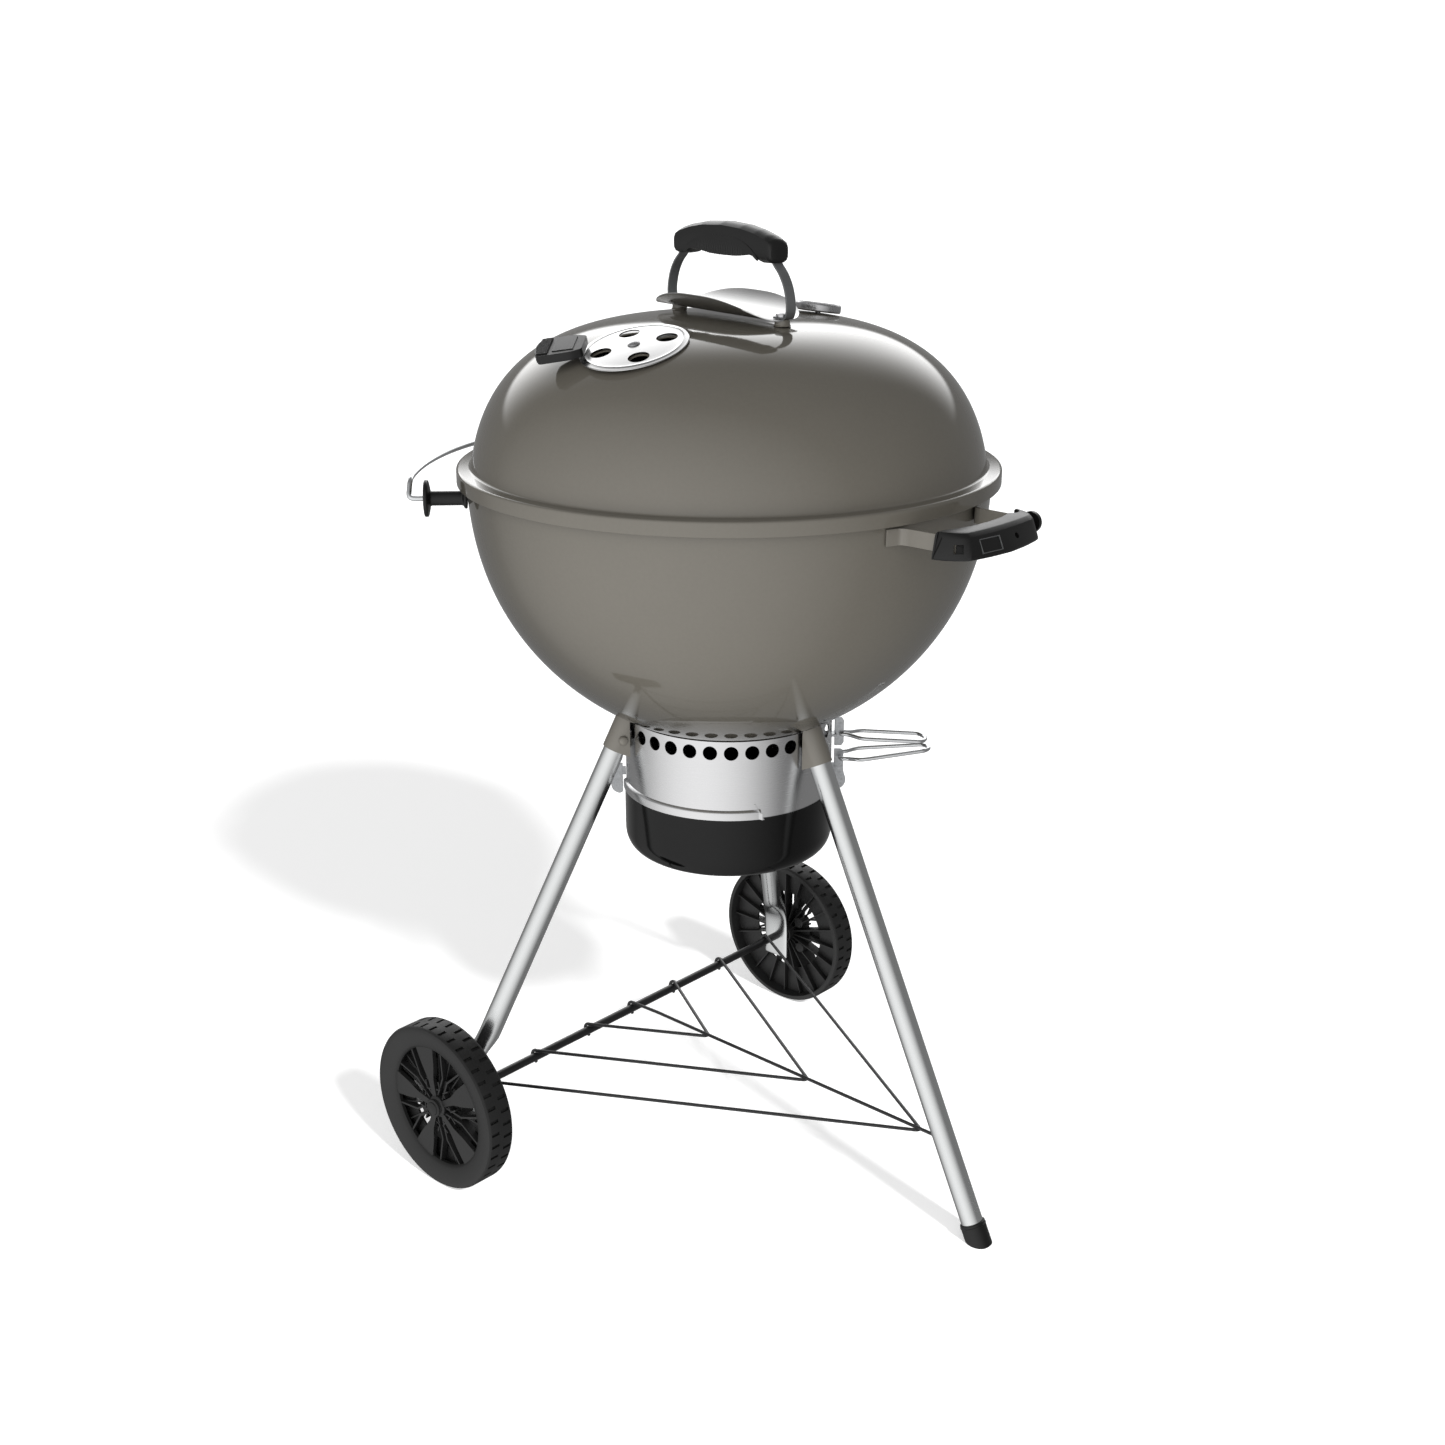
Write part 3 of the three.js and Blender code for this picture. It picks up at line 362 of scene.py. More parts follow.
def joined(*shapes):
    whole = bmesh.new()
    for shape in shapes:
        mesh = bpy.data.meshes.new("part")
        shape.to_mesh(mesh)
        shape.free()
        whole.from_mesh(mesh)
        bpy.data.meshes.remove(mesh)
    return whole


def moved(shape, matrix):
    bmesh.ops.transform(shape, matrix=matrix, verts=shape.verts)
    return shape


def carved(shape, *tools):
    """Cuts the tools out of a shape."""
    def stand_in(source):
        bmesh.ops.recalc_face_normals(source, faces=source.faces)
        mesh = bpy.data.meshes.new("carving")
        source.to_mesh(mesh)
        source.free()
        obj = bpy.data.objects.new("carving", mesh)
        scene.collection.objects.link(obj)
        return obj

    target = stand_in(shape)
    cutters = [stand_in(tool) for tool in tools]
    for cutter in cutters:
        step = target.modifiers.new("cut", "BOOLEAN")
        step.operation = "DIFFERENCE"
        step.object = cutter
        step.solver = "EXACT"
    evaluated = target.evaluated_get(bpy.context.evaluated_depsgraph_get())
    result = bmesh.new()
    result.from_mesh(evaluated.to_mesh())
    for obj in [target, *cutters]:
        mesh = obj.data
        bpy.data.objects.remove(obj)
        bpy.data.meshes.remove(mesh)
    return result


def piece(name, body, material, shape, replaces=(), at=None, crease=32, bevel=0.0):
    """Puts a bmesh drawn in millimetres into the row frame, as a piece that rides on a body."""
    bmesh.ops.transform(shape, matrix=TO_ROW_FRAME @ (at or Matrix()), verts=shape.verts)
    bmesh.ops.recalc_face_normals(shape, faces=shape.faces)
    mesh = bpy.data.meshes.new(name)
    shape.to_mesh(mesh)
    shape.free()
    mesh.shade_smooth()
    mesh.materials.append(material)
    obj = bpy.data.objects.new(name, mesh)
    scene.collection.objects.link(obj)
    if bevel:
        edges = obj.modifiers.new("edges", "BEVEL")
        edges.width = bevel * 0.001
        edges.segments = 2
        edges.limit_method = "ANGLE"
        edges.angle_limit = math.radians(crease)
        edges.harden_normals = True
    else:
        mesh.set_sharp_from_angle(angle=math.radians(crease))
    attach(obj, body)
    if replaces:
        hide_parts(*replaces)
    return obj


# ---- Paths and profiles ----
def arc_corner(before, corner, after, reach, steps):
    before, corner, after = Vector(before), Vector(corner), Vector(after)
    size = min(reach, (before - corner).length / 2.1, (after - corner).length / 2.1)
    start = corner + (before - corner).normalized() * size
    finish_at = corner + (after - corner).normalized() * size
    return [start.lerp(corner, t).lerp(corner.lerp(finish_at, t), t)
            for t in (i / steps for i in range(steps + 1))]


def eased_path(points, reach, steps=5, closed=False):
    """Rounds each corner of a path. reach is one number, or one per point."""
    n = len(points)
    reaches = reach if isinstance(reach, (list, tuple)) else [reach] * n
    out = []
    for i, point in enumerate(points):
        if (i in (0, n - 1) and not closed) or not reaches[i]:
            out.append(Vector(point))
        else:
            out += arc_corner(points[i - 1], point, points[(i + 1) % n], reaches[i], steps)
    return out


def flowing(points, count):
    """A smooth curve through points."""
    points = [Vector(p) for p in points]
    padded = [points[0] * 2 - points[1], *points, points[-1] * 2 - points[-2]]
    out = []
    for i in range(count + 1):
        s = i / count * (len(points) - 1)
        k = min(int(s), len(points) - 2)
        t = s - k
        a, b, c, d = padded[k:k + 4]
        out.append(((b * 2) + (c - a) * t + (a * 2 - b * 5 + c * 4 - d) * t * t
                    + (b * 3 - a - c * 3 + d) * t ** 3) * 0.5)
    return out


def strip_outline(path, width):
    """The outline of a strip of sheet along a path of [x, y] points."""
    path = [Vector((p[0], p[1])) for p in path]
    sides = []
    for sign in (1, -1):
        side = []
        for i, point in enumerate(path):
            along = (path[min(i + 1, len(path) - 1)] - path[max(i - 1, 0)]).normalized()
            side.append(point + Vector((-along.y, along.x)) * (sign * width / 2))
        sides.append(side)
    return [tuple(p) for p in sides[0] + sides[1][::-1]]


def shell_point(shell, side, angle):
    return Vector((shell["radius"] * max(math.cos(angle), 0) ** (2 / shell["width_power"]),
                   shell["equator"] + side * shell["depth"] * math.sin(angle) ** (2 / shell["depth_power"])))


def shell_curve(shell, side, start_z, inset, count):
    """Profile of the bowl (side -1) or the lid (side 1) from a height down or up to the axis."""
    start = math.asin((side * (start_z - shell["equator"]) / shell["depth"]) ** (shell["depth_power"] / 2))
    points = []
    for i in range(count):
        angle = start + (math.pi / 2 - start) * (1 - (1 - i / count) ** (shell["width_power"] / 2))
        here = shell_point(shell, side, angle)
        along = (shell_point(shell, side, min(angle + 1e-3, math.pi / 2))
                 - shell_point(shell, side, max(angle - 1e-3, 1e-4)))
        points.append(here + Vector((-along.y, along.x)).normalized() * (side * inset))
    tip = shell["equator"] + side * (shell["depth"] - inset)
    return [(p.x, p.y) for p in points if p.x > 0.5] + [(0.0, tip)]


def shell_height(shell, side, radius):
    angle = math.acos((radius / shell["radius"]) ** (shell["width_power"] / 2))
    return shell_point(shell, side, angle).y


def lid_normal(radius, azimuth):
    slope = (shell_height(LID, 1, radius + 1) - shell_height(LID, 1, radius - 1)) / 2
    return polar(-slope, azimuth, 1).normalized()


# ---- Bowl ----
WALL_TOP = 812
BEAD_RADIUS = 5
bead = [(286.6 + BEAD_RADIUS * math.cos(math.radians(a)), 817.9 + BEAD_RADIUS * math.sin(math.radians(a)))
        for a in range(-70, 205, 15)]
bowl = lathe(
    [*shell_curve(BOWL, -1, WALL_TOP, 0, 72)[::-1], *bead, *shell_curve(BOWL, -1, WALL_TOP, SHEET, 72)], 192)
ash_windows = [lathe([(30, 490), (74, 490), (74, 560), (30, 560)], 16, a - 20, a + 20) for a in (60, 180, 300)]
piece("bowl_shell", "base", ENAMEL, carved(bowl, *ash_windows), ["bowl"], crease=40)

# ---- Lid ----
LEDGE = 825.5
outer = shell_curve(LID, 1, LEDGE, 0, 72)
inner = shell_curve(LID, 1, LEDGE, SHEET, 72)
foot = eased_path(
    [outer[1], outer[0], (295, LEDGE), (295, 809.5), (293.4, 809.5), (293.4, 823.3), (279.2, 823.3), inner[1]],
    [0, 3, 3.2, 0.6, 0.6, 2, 2, 0], 6)
lid = lathe([*outer[2:][::-1], *foot, *inner[2:]], 192)

VENT_RADIUS, VENT_AZIMUTH, VENT_DISC = 162, 186, 56
vent_at = placed(polar(VENT_RADIUS, VENT_AZIMUTH, shell_height(LID, 1, VENT_RADIUS)),
                 lid_normal(VENT_RADIUS, VENT_AZIMUTH), polar(-1, VENT_AZIMUTH, 0))


def vent_holes(z0, z1):
    drill = [(0, z0), (11, z0), (11, z1), (0, z1)]
    return [moved(lathe(drill, 40), Matrix.Translation(polar(34, a, 0))) for a in (45, 135, 225, 315)]


piece("lid_shell", "lid", ENAMEL,
      carved(lid, *[moved(hole, vent_at) for hole in vent_holes(-20, 12)]), ["lid"], crease=40)

# ---- Lid vent ----
def dome(r):
    return 2.6 * (1 - (r / VENT_DISC) ** 2) - 2.6


disc_steps = [0, 4, 10, 18, 26, 34, 42, 47]
disc_edge = [(49, dome(49) + 0.1), (50.2, dome(50) + 0.5), (51.4, dome(51) + 0.1), (54, dome(54)),
             (55.6, dome(55.6))]
disc_top = [(r, dome(r) + 2.2) for r in disc_steps] + [(r, z + 2.2) for r, z in disc_edge]
disc_under = [(56, dome(56) + 1.9), (56, dome(56) + 1.2), (55.4, dome(55.4) + 0.9)] + [
    (r, dome(r) + 0.9) for r in disc_steps[::-1]]
piece("vent_disc_sheet", "vent", POLISHED,
      carved(lathe(disc_top + disc_under, 128), *vent_holes(-20, 12)), ["vent_disc"], at=vent_at, crease=25)
rivet = [(0, 5.0), (3, 4.7), (5.4, 3.9), (6.5, 2.9), (6.5, 2.5), (3.1, 2.3), (3.1, -5.9), (0, -5.9)]
piece("vent_rivet_head", "lid", STEEL, lathe(rivet, 32), ["vent_rivet"], at=vent_at)

tab_turn = turned(125 - (VENT_AZIMUTH + 180))
tab_outline = eased_path(
    [(49, -17), (60, -22), (94, -24), (99, -12), (100, 0), (99, 12), (94, 24), (60, 22), (49, 17)],
    [3, 4, 4, 4, 0, 4, 4, 4, 3], 4, True)
tab = joined(prism(tab_outline, 2.6, 11.5),
             *[block(84, 98.6 - abs(k) * 0.5, 3.1 * k - 0.9, 3.1 * k + 0.9, 11, 12.9) for k in range(-6, 7)],
             block(58, 80, -16, 16, 11, 12.3))
piece("vent_tab_grip", "vent", PLASTIC, tab, ["vent_tab"], at=vent_at @ tab_turn, bevel=0.6)

# ---- Thermometer ----
THERMO_RADIUS, THERMO_AZIMUTH = 119, -13
SCALE_START, SCALE_SWEEP, SCALE_STEPS = 215, 250, 32
thermo_at = placed(polar(THERMO_RADIUS, THERMO_AZIMUTH, shell_height(LID, 1, THERMO_RADIUS)),
                   lid_normal(THERMO_RADIUS, THERMO_AZIMUTH), polar(1, THERMO_AZIMUTH, 0))
bezel = eased_path(
    [(0, -42), (3, -42), (3, 1.2), (24.2, 1.2), (25, 2.4), (25, 8.6), (23.6, 10.4), (22.8, 10.4), (22.8, 3.2),
     (0, 3.2)],
    [0, 0.8, 0.5, 0.4, 0.8, 0.9, 0.5, 0.3, 0, 0], 3)
piece("thermometer_case", "lid", STEEL, lathe(bezel, 64),
      ["thermometer_bezel"], at=thermo_at)
dial = lathe([(0, 4.3), (22.2, 4.3), (22.5, 4.1), (22.5, 3.5), (0, 3.5)], 64)
piece("thermometer_face", "lid", DIAL, dial, ["thermometer_dial"], at=thermo_at)


def scale_mark(i):
    """Every fourth mark is longer and wider."""
    inner_end, half = (17.4, 0.25) if i % 4 else (15.6, 0.45)
    return moved(block(inner_end, 20.6, -half, half, 4.2, 4.4),
                 turned(SCALE_START - i * SCALE_SWEEP / SCALE_STEPS))


marks = joined(*[scale_mark(i) for i in range(SCALE_STEPS + 1)])
piece("thermometer_marks", "lid", DIAL_MARKS, marks, at=thermo_at)
pointer = joined(prism([(-6, -0.9), (-6, 0.9), (17, 0.3), (17, -0.3)], 4.8, 5.6),
                 lathe([(0, 5.9), (1.8, 5.8), (2.2, 5.4), (2.2, 4.7), (0, 4.7)], 24))
piece("thermometer_pointer", "needle", NEEDLE, pointer, ["thermometer_needle"],
      at=thermo_at @ turned(SCALE_START))
lens = lathe([(0, 9.2), (12, 9.1), (20, 8.9), (22.4, 8.6), (22.4, 7.8), (0, 7.8)], 64)
piece("thermometer_glass", "lid", LENS, lens, ["thermometer_lens"], at=thermo_at)

# ---- Lid handle ----
# Its own frame runs x along the handle, y up and z across it.
handle_at = placed((0, 0, 0), polar(-1, LID_HANDLE_AZIMUTH + 90, 0), polar(1, LID_HANDLE_AZIMUTH, 0))
STRAP_FOOT, BOSS_RADIUS = 987.2, 92
for side, sign in (("front", 1), ("rear", -1)):
    foot_at = polar(sign * BOSS_RADIUS, LID_HANDLE_AZIMUTH, 0)
    base, top = shell_height(LID, 1, BOSS_RADIUS) + 0.3, STRAP_FOOT - 1.4
    boss = eased_path([(0, base), (9.5, base), (8, base + 1.7), (8, top), (0, top)], [0, 0.6, 1.2, 1, 0], 3)
    piece(f"handle_standoff_{side}", "lid", ENAMEL, lathe(boss, 40), [f"handle_boss_{side}"],
          at=Matrix.Translation(foot_at))
    spine = flowing([(103.6, 2.2), (105.8, 8), (105.4, 18), (101, 32), (93, 44), (83, 53.4), (79, 62)], 24)
    run = eased_path([(84, 0), (103.2, 0), spine[3]], [0, 3.4, 0], 5) + spine[4:]
    shape = strip_outline([(sign * p.x, STRAP_FOOT + p.y) for p in run], 2.2)
    piece(f"handle_bar_{side}", "lid", STRAP_METAL, prism(shape, -6, 6), [f"handle_strap_{side}"],
          at=handle_at, crease=35, bevel=0.5)
    nut = lathe([(0, 4.2), (4, 4), (6.3, 3), (6.8, 1.6), (6.8, 0), (0, 0)], 32)
    nut_at = Matrix.Translation(foot_at + Vector((0, 0, STRAP_FOOT + 1.2)))
    piece(f"handle_nut_{side}", "lid", STEEL, nut, at=nut_at)


def shield_point(u, v, lift):
    """The unit square drawn out to a blunt oval whose long sides turn up."""
    bluntness = 2.7
    reach = (abs(u) ** bluntness + abs(v) ** bluntness) ** (1 / bluntness) or 1.0
    x, y = (c * max(abs(u), abs(v)) / reach for c in (u, v))
    return Vector((105.4 * x - 6.6, 985.2 + 18.7 * abs(y) ** 3 + lift, 41.4 * y))


def sheet_grid(point, columns, rows, thickness):
    """A thin closed sheet over u, v from -1 to 1."""
    shape = bmesh.new()
    layers = []
    for lift in (-thickness / 2, thickness / 2):
        layers.append([[shape.verts.new(point(2 * i / columns - 1, 2 * j / rows - 1, lift))
                        for j in range(rows + 1)]
                       for i in range(columns + 1)])
        bridge(shape, layers[-1], False)

    def rim(grid):
        return ([row[0] for row in grid] + grid[-1][1:] + [row[-1] for row in grid[-2::-1]] + grid[0][-2:0:-1])

    return bridge(shape, [rim(layers[0]), rim(layers[1])])


piece("heat_shield_sheet", "lid", POLISHED, sheet_grid(shield_point, 64, 48, 1.2),
      ["heat_shield"], at=handle_at, crease=50)

GRIP_END = 86.5
half_top = [(0, 1078.2), (34, 1076.4), (58, 1072.6), (75, 1068.2), (83.5, 1064.4), (86, 1061.2), (GRIP_END, 1058)]
half_under = [(0, 1043.2), (18, 1043.6), (38, 1046), (50, 1046.8), (57, 1045.8), (64, 1041.8), (70, 1040.6),
              (83.4, 1040.8), (85.8, 1042), (GRIP_END, 1045)]
GRIP_TOP, GRIP_UNDER = ([(-x, z) for x, z in half[:0:-1]] + half for half in (half_top, half_under))


def along_line(points, x):
    for (x0, z0), (x1, z1) in zip(points, points[1:]):
        if x <= x1:
            return z0 + (z1 - z0) * (x - x0) / (x1 - x0)
    return points[-1][1]


def grip_section(x):
    """Crowned top, a bevel to upright sides, rounded underside."""
    top, under = along_line(GRIP_TOP, x), along_line(GRIP_UNDER, x)
    end = max(0.0, (abs(x) - 81) / 5.5)
    half = 12.6 - 1.7 * end ** 3
    side_top = max(top - 6.5, (top + under) / 2 + 0.5)
    low = under + min(5, (side_top - under) * 0.45)
    right = [(0, top), (half * 0.45, top - 0.5), (half * 0.72, top - 2.0),
             (half * 0.92, (top + side_top) / 2 - 0.4), (half, side_top), (half, (side_top + low) / 2),
             (half * 0.985, low), (half * 0.86, (under + low) / 2 - 0.4), (half * 0.6, under + 0.4), (0, under)]
    return [(x, z, y) for y, z in right] + [(x, z, -y) for y, z in right[-2:0:-1]]


near_end = [81, 83, 84.4, 85.6, 86.2, GRIP_END]
stations = [-x for x in near_end[::-1]] + [-78 + 2 * i for i in range(79)] + near_end
piece("lid_grip_body", "lid", PLASTIC, loft([grip_section(x) for x in stations]), ["lid_grip"],
      at=handle_at, crease=28)


def finger_pad(side):
    """A ribbed soft panel let into each flank, under an arched seam."""
    def point(u, v, lift):
        x = 66 * u
        arch = 1064.5 - 19.5 * abs(u) ** 3
        low = along_line(GRIP_UNDER, x) + 1.2
        z = low + (max(arch, low + 0.6) - low) * (v + 1) / 2
        rib = 0.6 * math.cos(2 * math.pi * x / 4.2) * max(0.0, 0.3 - v) if abs(x) < 40 else 0.0
        swell = 0.8 * max(0.0, 1 - u * u) * max(0.0, 1 - v * v)
        return Vector((x, z, side * (12.35 + lift + swell + rib)))
    return sheet_grid(point, 180, 10, 1.0)


for label, side in (("near", -1), ("far", 1)):
    piece(f"lid_grip_pad_{label}", "lid", PLASTIC, finger_pad(side), at=handle_at, crease=50)

# ---- Legs, sockets, bolts and the foot cap ----
LEG_FOOT, LEG_LEAN, LEG_RADIUS = 372.8, 0.4697, 12.4
LEG_UP = Vector((-LEG_LEAN, 0, 1)).normalized()


def leg_x(z):
    return LEG_FOOT - LEG_LEAN * z


def on_leg(z):
    return placed((leg_x(z), 0, z), LEG_UP, (1, 0, 0))


def kept_off_ring(shape):
    """Presses a shape out of the cylinder that the ash ring fills."""
    radius, low, high = 121.5, 440, 640
    for vert in shape.verts:
        flat = math.hypot(vert.co.x, vert.co.y)
        if low < vert.co.z < high and flat < radius:
            vert.co.x *= radius / flat
            vert.co.y *= radius / flat
    return shape


def smooth_step(value, low, high):
    t = min(max((value - low) / (high - low), 0), 1)
    return t * t * (3 - 2 * t)


def leg_tube():
    levels = [9, 9.4, 11, 40, 120, 240, 360, 430, 460, 480, 500, 515, 526]
    rings = [[on_leg(z) @ Vector((r * math.cos(t), r * math.sin(t), 0))
              for t in (2 * math.pi * i / 48 for i in range(48))]
             for z, r in zip(levels, [11.9, 12.3] + [LEG_RADIUS] * 11)]
    return kept_off_ring(loft(rings))


def rear_leg(azimuth):
    """A rear leg is pinched flat at its foot into an upright paddle on the axle."""
    paddle_x, paddle_half, paddle_reach = 282.6, 2.6, 19
    outward, across = polar(1, azimuth, 0), polar(1, azimuth + 90, 0)
    up = (outward * -LEG_LEAN + Vector((0, 0, 1))).normalized()
    normal = -up.cross(across)
    sign = 1 if outward.x > 0 else -1
    rings = []
    levels = [71, 71.6, 73] + [76 + 6 * i for i in range(17)] + [178, 200, 260, 340, 430, 470, 500, 526]
    for z in levels:
        flat = 1 - smooth_step(z, 128, 175)
        ease = 0.75 if z == 71 else 0.93 if z == 71.6 else 1.0
        a = (LEG_RADIUS + (paddle_half - LEG_RADIUS) * flat) * (ease if flat > 0.9 else 1)
        b = LEG_RADIUS + (paddle_reach - LEG_RADIUS) * flat
        first = normal.lerp(Vector((sign, 0, 0)), flat).normalized()
        second = across.lerp(Vector((0, sign, 0)), flat).normalized()
        centre = (outward * leg_x(z) + Vector((0, 0, z))).lerp(
            Vector((sign * paddle_x, AXLE_Y, z)), 1 - smooth_step(z, AXLE_Z, 175))
        power = 1 - 0.45 * flat
        ring = []
        for i in range(56):
            t = 2 * math.pi * i / 56
            c, s = math.cos(t), math.sin(t)
            ring.append(centre + first * (a * math.copysign(abs(c) ** power, c))
                        + second * (b * math.copysign(abs(s) ** (0.65 if flat > 0.5 else 1), s)))
        rings.append(ring)
    return kept_off_ring(loft(rings))


piece("leg_tube_front", "base", LEG_METAL, leg_tube(), ["leg_front"], at=turned(-90), crease=40)
for side in ("right", "left"):
    piece(f"leg_tube_{side}", "base", LEG_METAL, rear_leg(LEG_AZIMUTHS[side]), [f"leg_{side}"],
          crease=40)


def socket():
    """A folded sheet channel round the top of a leg, open towards the ash ring."""
    half = 13.4
    arc = [(half * math.cos(math.radians(a)), half * math.sin(math.radians(a))) for a in range(90, -91, -6)]
    path = [(-52, half), (-30, half), *arc, (-30, -half), (-52, -half)]
    outline = strip_outline(path, 1.3)
    shape = moved(prism(outline, 0, 60), on_leg(506))
    bowl_room = lathe([(0, 900), *shell_curve(BOWL, -1, WALL_TOP, -0.3, 48)], 96)
    ring_room = lathe([(0, 400), (121.6, 400), (121.6, 640), (0, 640)], 96)
    return carved(shape, bowl_room, ring_room)


for side, azimuth in LEG_AZIMUTHS.items():
    piece(f"leg_channel_{side}", "base", PAINT, socket(), [f"leg_socket_{side}"], at=turned(azimuth),
          crease=35)
    head = lathe(
        [(0, 4.2), (2.5, 3.9), (4.5, 2.9), (5.4, 1.4), (5.5, 0.3), (3, 0.3), (3, -3.4), (0, -3.4)], 32)
    piece(f"leg_screw_{side}", "base", PAINT, head, [f"leg_bolt_{side}"],
          at=turned(azimuth) @ placed((leg_x(520), 14.0, 520), (0, 1, 0), LEG_UP))

cap_profile = eased_path([(0, -16), (14.3, -16), (14.3, 13), (12.7, 13), (12.7, -0.3), (0, -0.3)],
                         [0, 1.5, 0.8, 0.6, 0, 0], 4)
cap = moved(lathe(cap_profile, 48), on_leg(9))
for vert in cap.verts:
    if vert.co.z < 0:
        vert.co -= LEG_UP * (vert.co.z / LEG_UP.z)
        vert.co.z = 0.0
cap_band = moved(lathe([(14.1, 8.5), (14.75, 8.9), (14.75, 9.9), (14.1, 10.3)], 48), on_leg(9))
piece("foot_cap_moulding", "base", PLASTIC, joined(cap, cap_band), ["foot_cap"], at=turned(-90))

# ---- Axle, wheels and rack ----
axle = lathe([(0, -326), (4, -326), (5, -325), (5, 325), (4, 326), (0, 326)], 32)
piece("axle_rod", "base", WIRE_COAT, axle, ["axle"],
      at=placed((0, AXLE_Y, AXLE_Z), (1, 0, 0), (0, 0, 1)))


TREAD, GROOVE, GROOVE_PITCH = 99.3, 2.4, 2.25


def tyre():
    """The rim and tread, with short grooves in two staggered rows."""
    section = [(72, 10.2), (73.5, 12.5), (76, 14.2), (84, 16.6), (91, 17.9), (95, 18.0), (97.6, 16.9),
               (98.9, 15.0), *[(TREAD, z) for z in (14.0, 3.0, 0.8, -0.8, -3.0, -14.0)], (98.9, -15.6),
               (97.6, -17.4), (95, -18.2), (92.5, -18.0), (91.8, -16.5), (91.2, 4.2), (88, 5.6), (72, 6.2)]
    rim = lathe(section, 160)
    grooves = []
    for face in rim.faces:
        centre = face.calc_center_median()
        angle = math.degrees(math.atan2(centre.y, centre.x)) % 360
        index = int(angle / GROOVE_PITCH)
        if math.hypot(centre.x, centre.y) > 99 and (
                (3 < centre.z < 14 and index % 4 == 0) or (-14 < centre.z < -3 and index % 4 == 2)):
            grooves.append(face)
    cut = bmesh.ops.extrude_discrete_faces(rim, faces=grooves)
    for face in cut["faces"]:
        for vert in face.verts:
            flat = math.hypot(vert.co.x, vert.co.y)
            vert.co.x *= (flat - GROOVE) / flat
            vert.co.y *= (flat - GROOVE) / flat
    return rim


def forked_spoke():
    """A blade on a narrow neck, sunk below the rim and braced by thin struts."""
    side = [(9, 4.2), (33, 3.8), (41, 8.5), (52, 11), (66, 14), (76, 17)]
    blade = prism([(x, -y) for x, y in side] + [(77.5, 0)] + side[::-1], 6.6, 11.6)
    bmesh.ops.bevel(blade, geom=[e for e in blade.edges if all(v.co.z > 11 for v in e.verts)], offset=1.0,
                    segments=2, affect="EDGES")
    shapes = [blade]
    for bend in (-1, 1):
        strut = [(14, bend * 5), (36, bend * 21), (74, bend * 28)]
        lip = [(21, bend * 5), (21, bend * 11.5), (31, bend * 11.5)]
        shapes += [prism(strip_outline(strut, 2.2), 2.6, 10.2), prism(strip_outline(lip, 1.8), 2.6, 10.8)]
    return joined(*shapes)


def wheel():
    """Moulded wheel about its axle: +z faces outboard."""
    shapes = [tyre()]
    shapes += [moved(forked_spoke(), turned(72 * k + 14)) for k in range(5)]
    shapes.append(lathe([(12, 0.4), (36, 0.4), (36, 2.8), (12, 2.8)], 64))
    shapes.append(lathe([(56, -1.6), (74, -2.4), (92, -2.4), (92, 0), (74, 0.4), (56, 0.8)], 96))
    shapes.append(lathe(
        [(0, 16.2), (5.5, 16.2), (8.6, 15.2), (9.6, 13.2), (11.5, 12.6), (13, 11), (13, 0), (15, -2),
         (15, -16.5), (14, -17.6), (6, -17.6), (5.3, -17), (5.3, 10), (0, 10)], 48))
    shapes += [moved(block(14, 92, -0.8, 0.8, -9.5, 5.0), turned(18 * k)) for k in range(20)]
    for k in range(5):
        boss = lathe([(0, -10.5), (6.2, -10.5), (7, -9.6), (7, 6), (0, 6)], 28)
        shapes.append(moved(boss, Matrix.Translation(polar(31, 72 * k + 50, 0))))
    return joined(*shapes)


for side, sign in (("right", 1), ("left", -1)):
    at = placed((sign * 310.4, AXLE_Y, AXLE_Z), (sign, 0, 0), (0, 0, 1))
    piece(f"wheel_moulding_{side}", f"wheel_{side[0]}", WHEEL_PLASTIC, wheel(), [f"wheel_{side}"],
          at=at, crease=30)
    retainer = lathe(
        [(0, 19.6), (5, 19.4), (7.4, 18.6), (8, 17.6), (10.4, 17.2), (11, 16.4), (11, 15.7), (0, 15.7)], 40)
    piece(f"axle_retainer_{side}", "base", PLASTIC, retainer, [f"axle_cap_{side}"], at=at)

AXLE_RADIUS, HOOK_GAP, WIRE = 5, 0.55, 2.0
hook_reach = AXLE_RADIUS + HOOK_GAP + WIRE
rack_z = AXLE_Z + hook_reach


def hook(x, angles=range(90, -91, -15)):
    return [(x, AXLE_Y + hook_reach * math.cos(math.radians(a)), AXLE_Z + hook_reach * math.sin(math.radians(a)))
            for a in angles]


rack = [tube([(0, -306.2, rack_z + 1.5), (0, 120, rack_z + 1.5), *hook(0)], WIRE)]
for x, apex in ((77, 31), (166, -126.7), (260, -290.3)):
    bend = eased_path([(-x, AXLE_Y, rack_z), (0, apex, rack_z), (x, AXLE_Y, rack_z)], 9, 8)
    rack.append(tube([*hook(-x)[:0:-1], *bend, *hook(x)[1:]], WIRE))
    weld = lathe([(0, -2.6), (2.0, -1.8), (2.6, 0), (2.0, 1.8), (0, 2.6)], 16)
    rack.append(moved(weld, Matrix.Translation((0, apex + 4, rack_z + 0.8))))
piece("rack_wires", "base", WIRE_COAT, joined(*rack), ["wire_rack"], crease=50)

# ---- Ash ring ----
RING = {"radius": 118.0, "bottom": 450.8, "sheet": 1.4, "hole_z": 528.0, "hole": 8.0, "holes": 32, "first": -1.9}


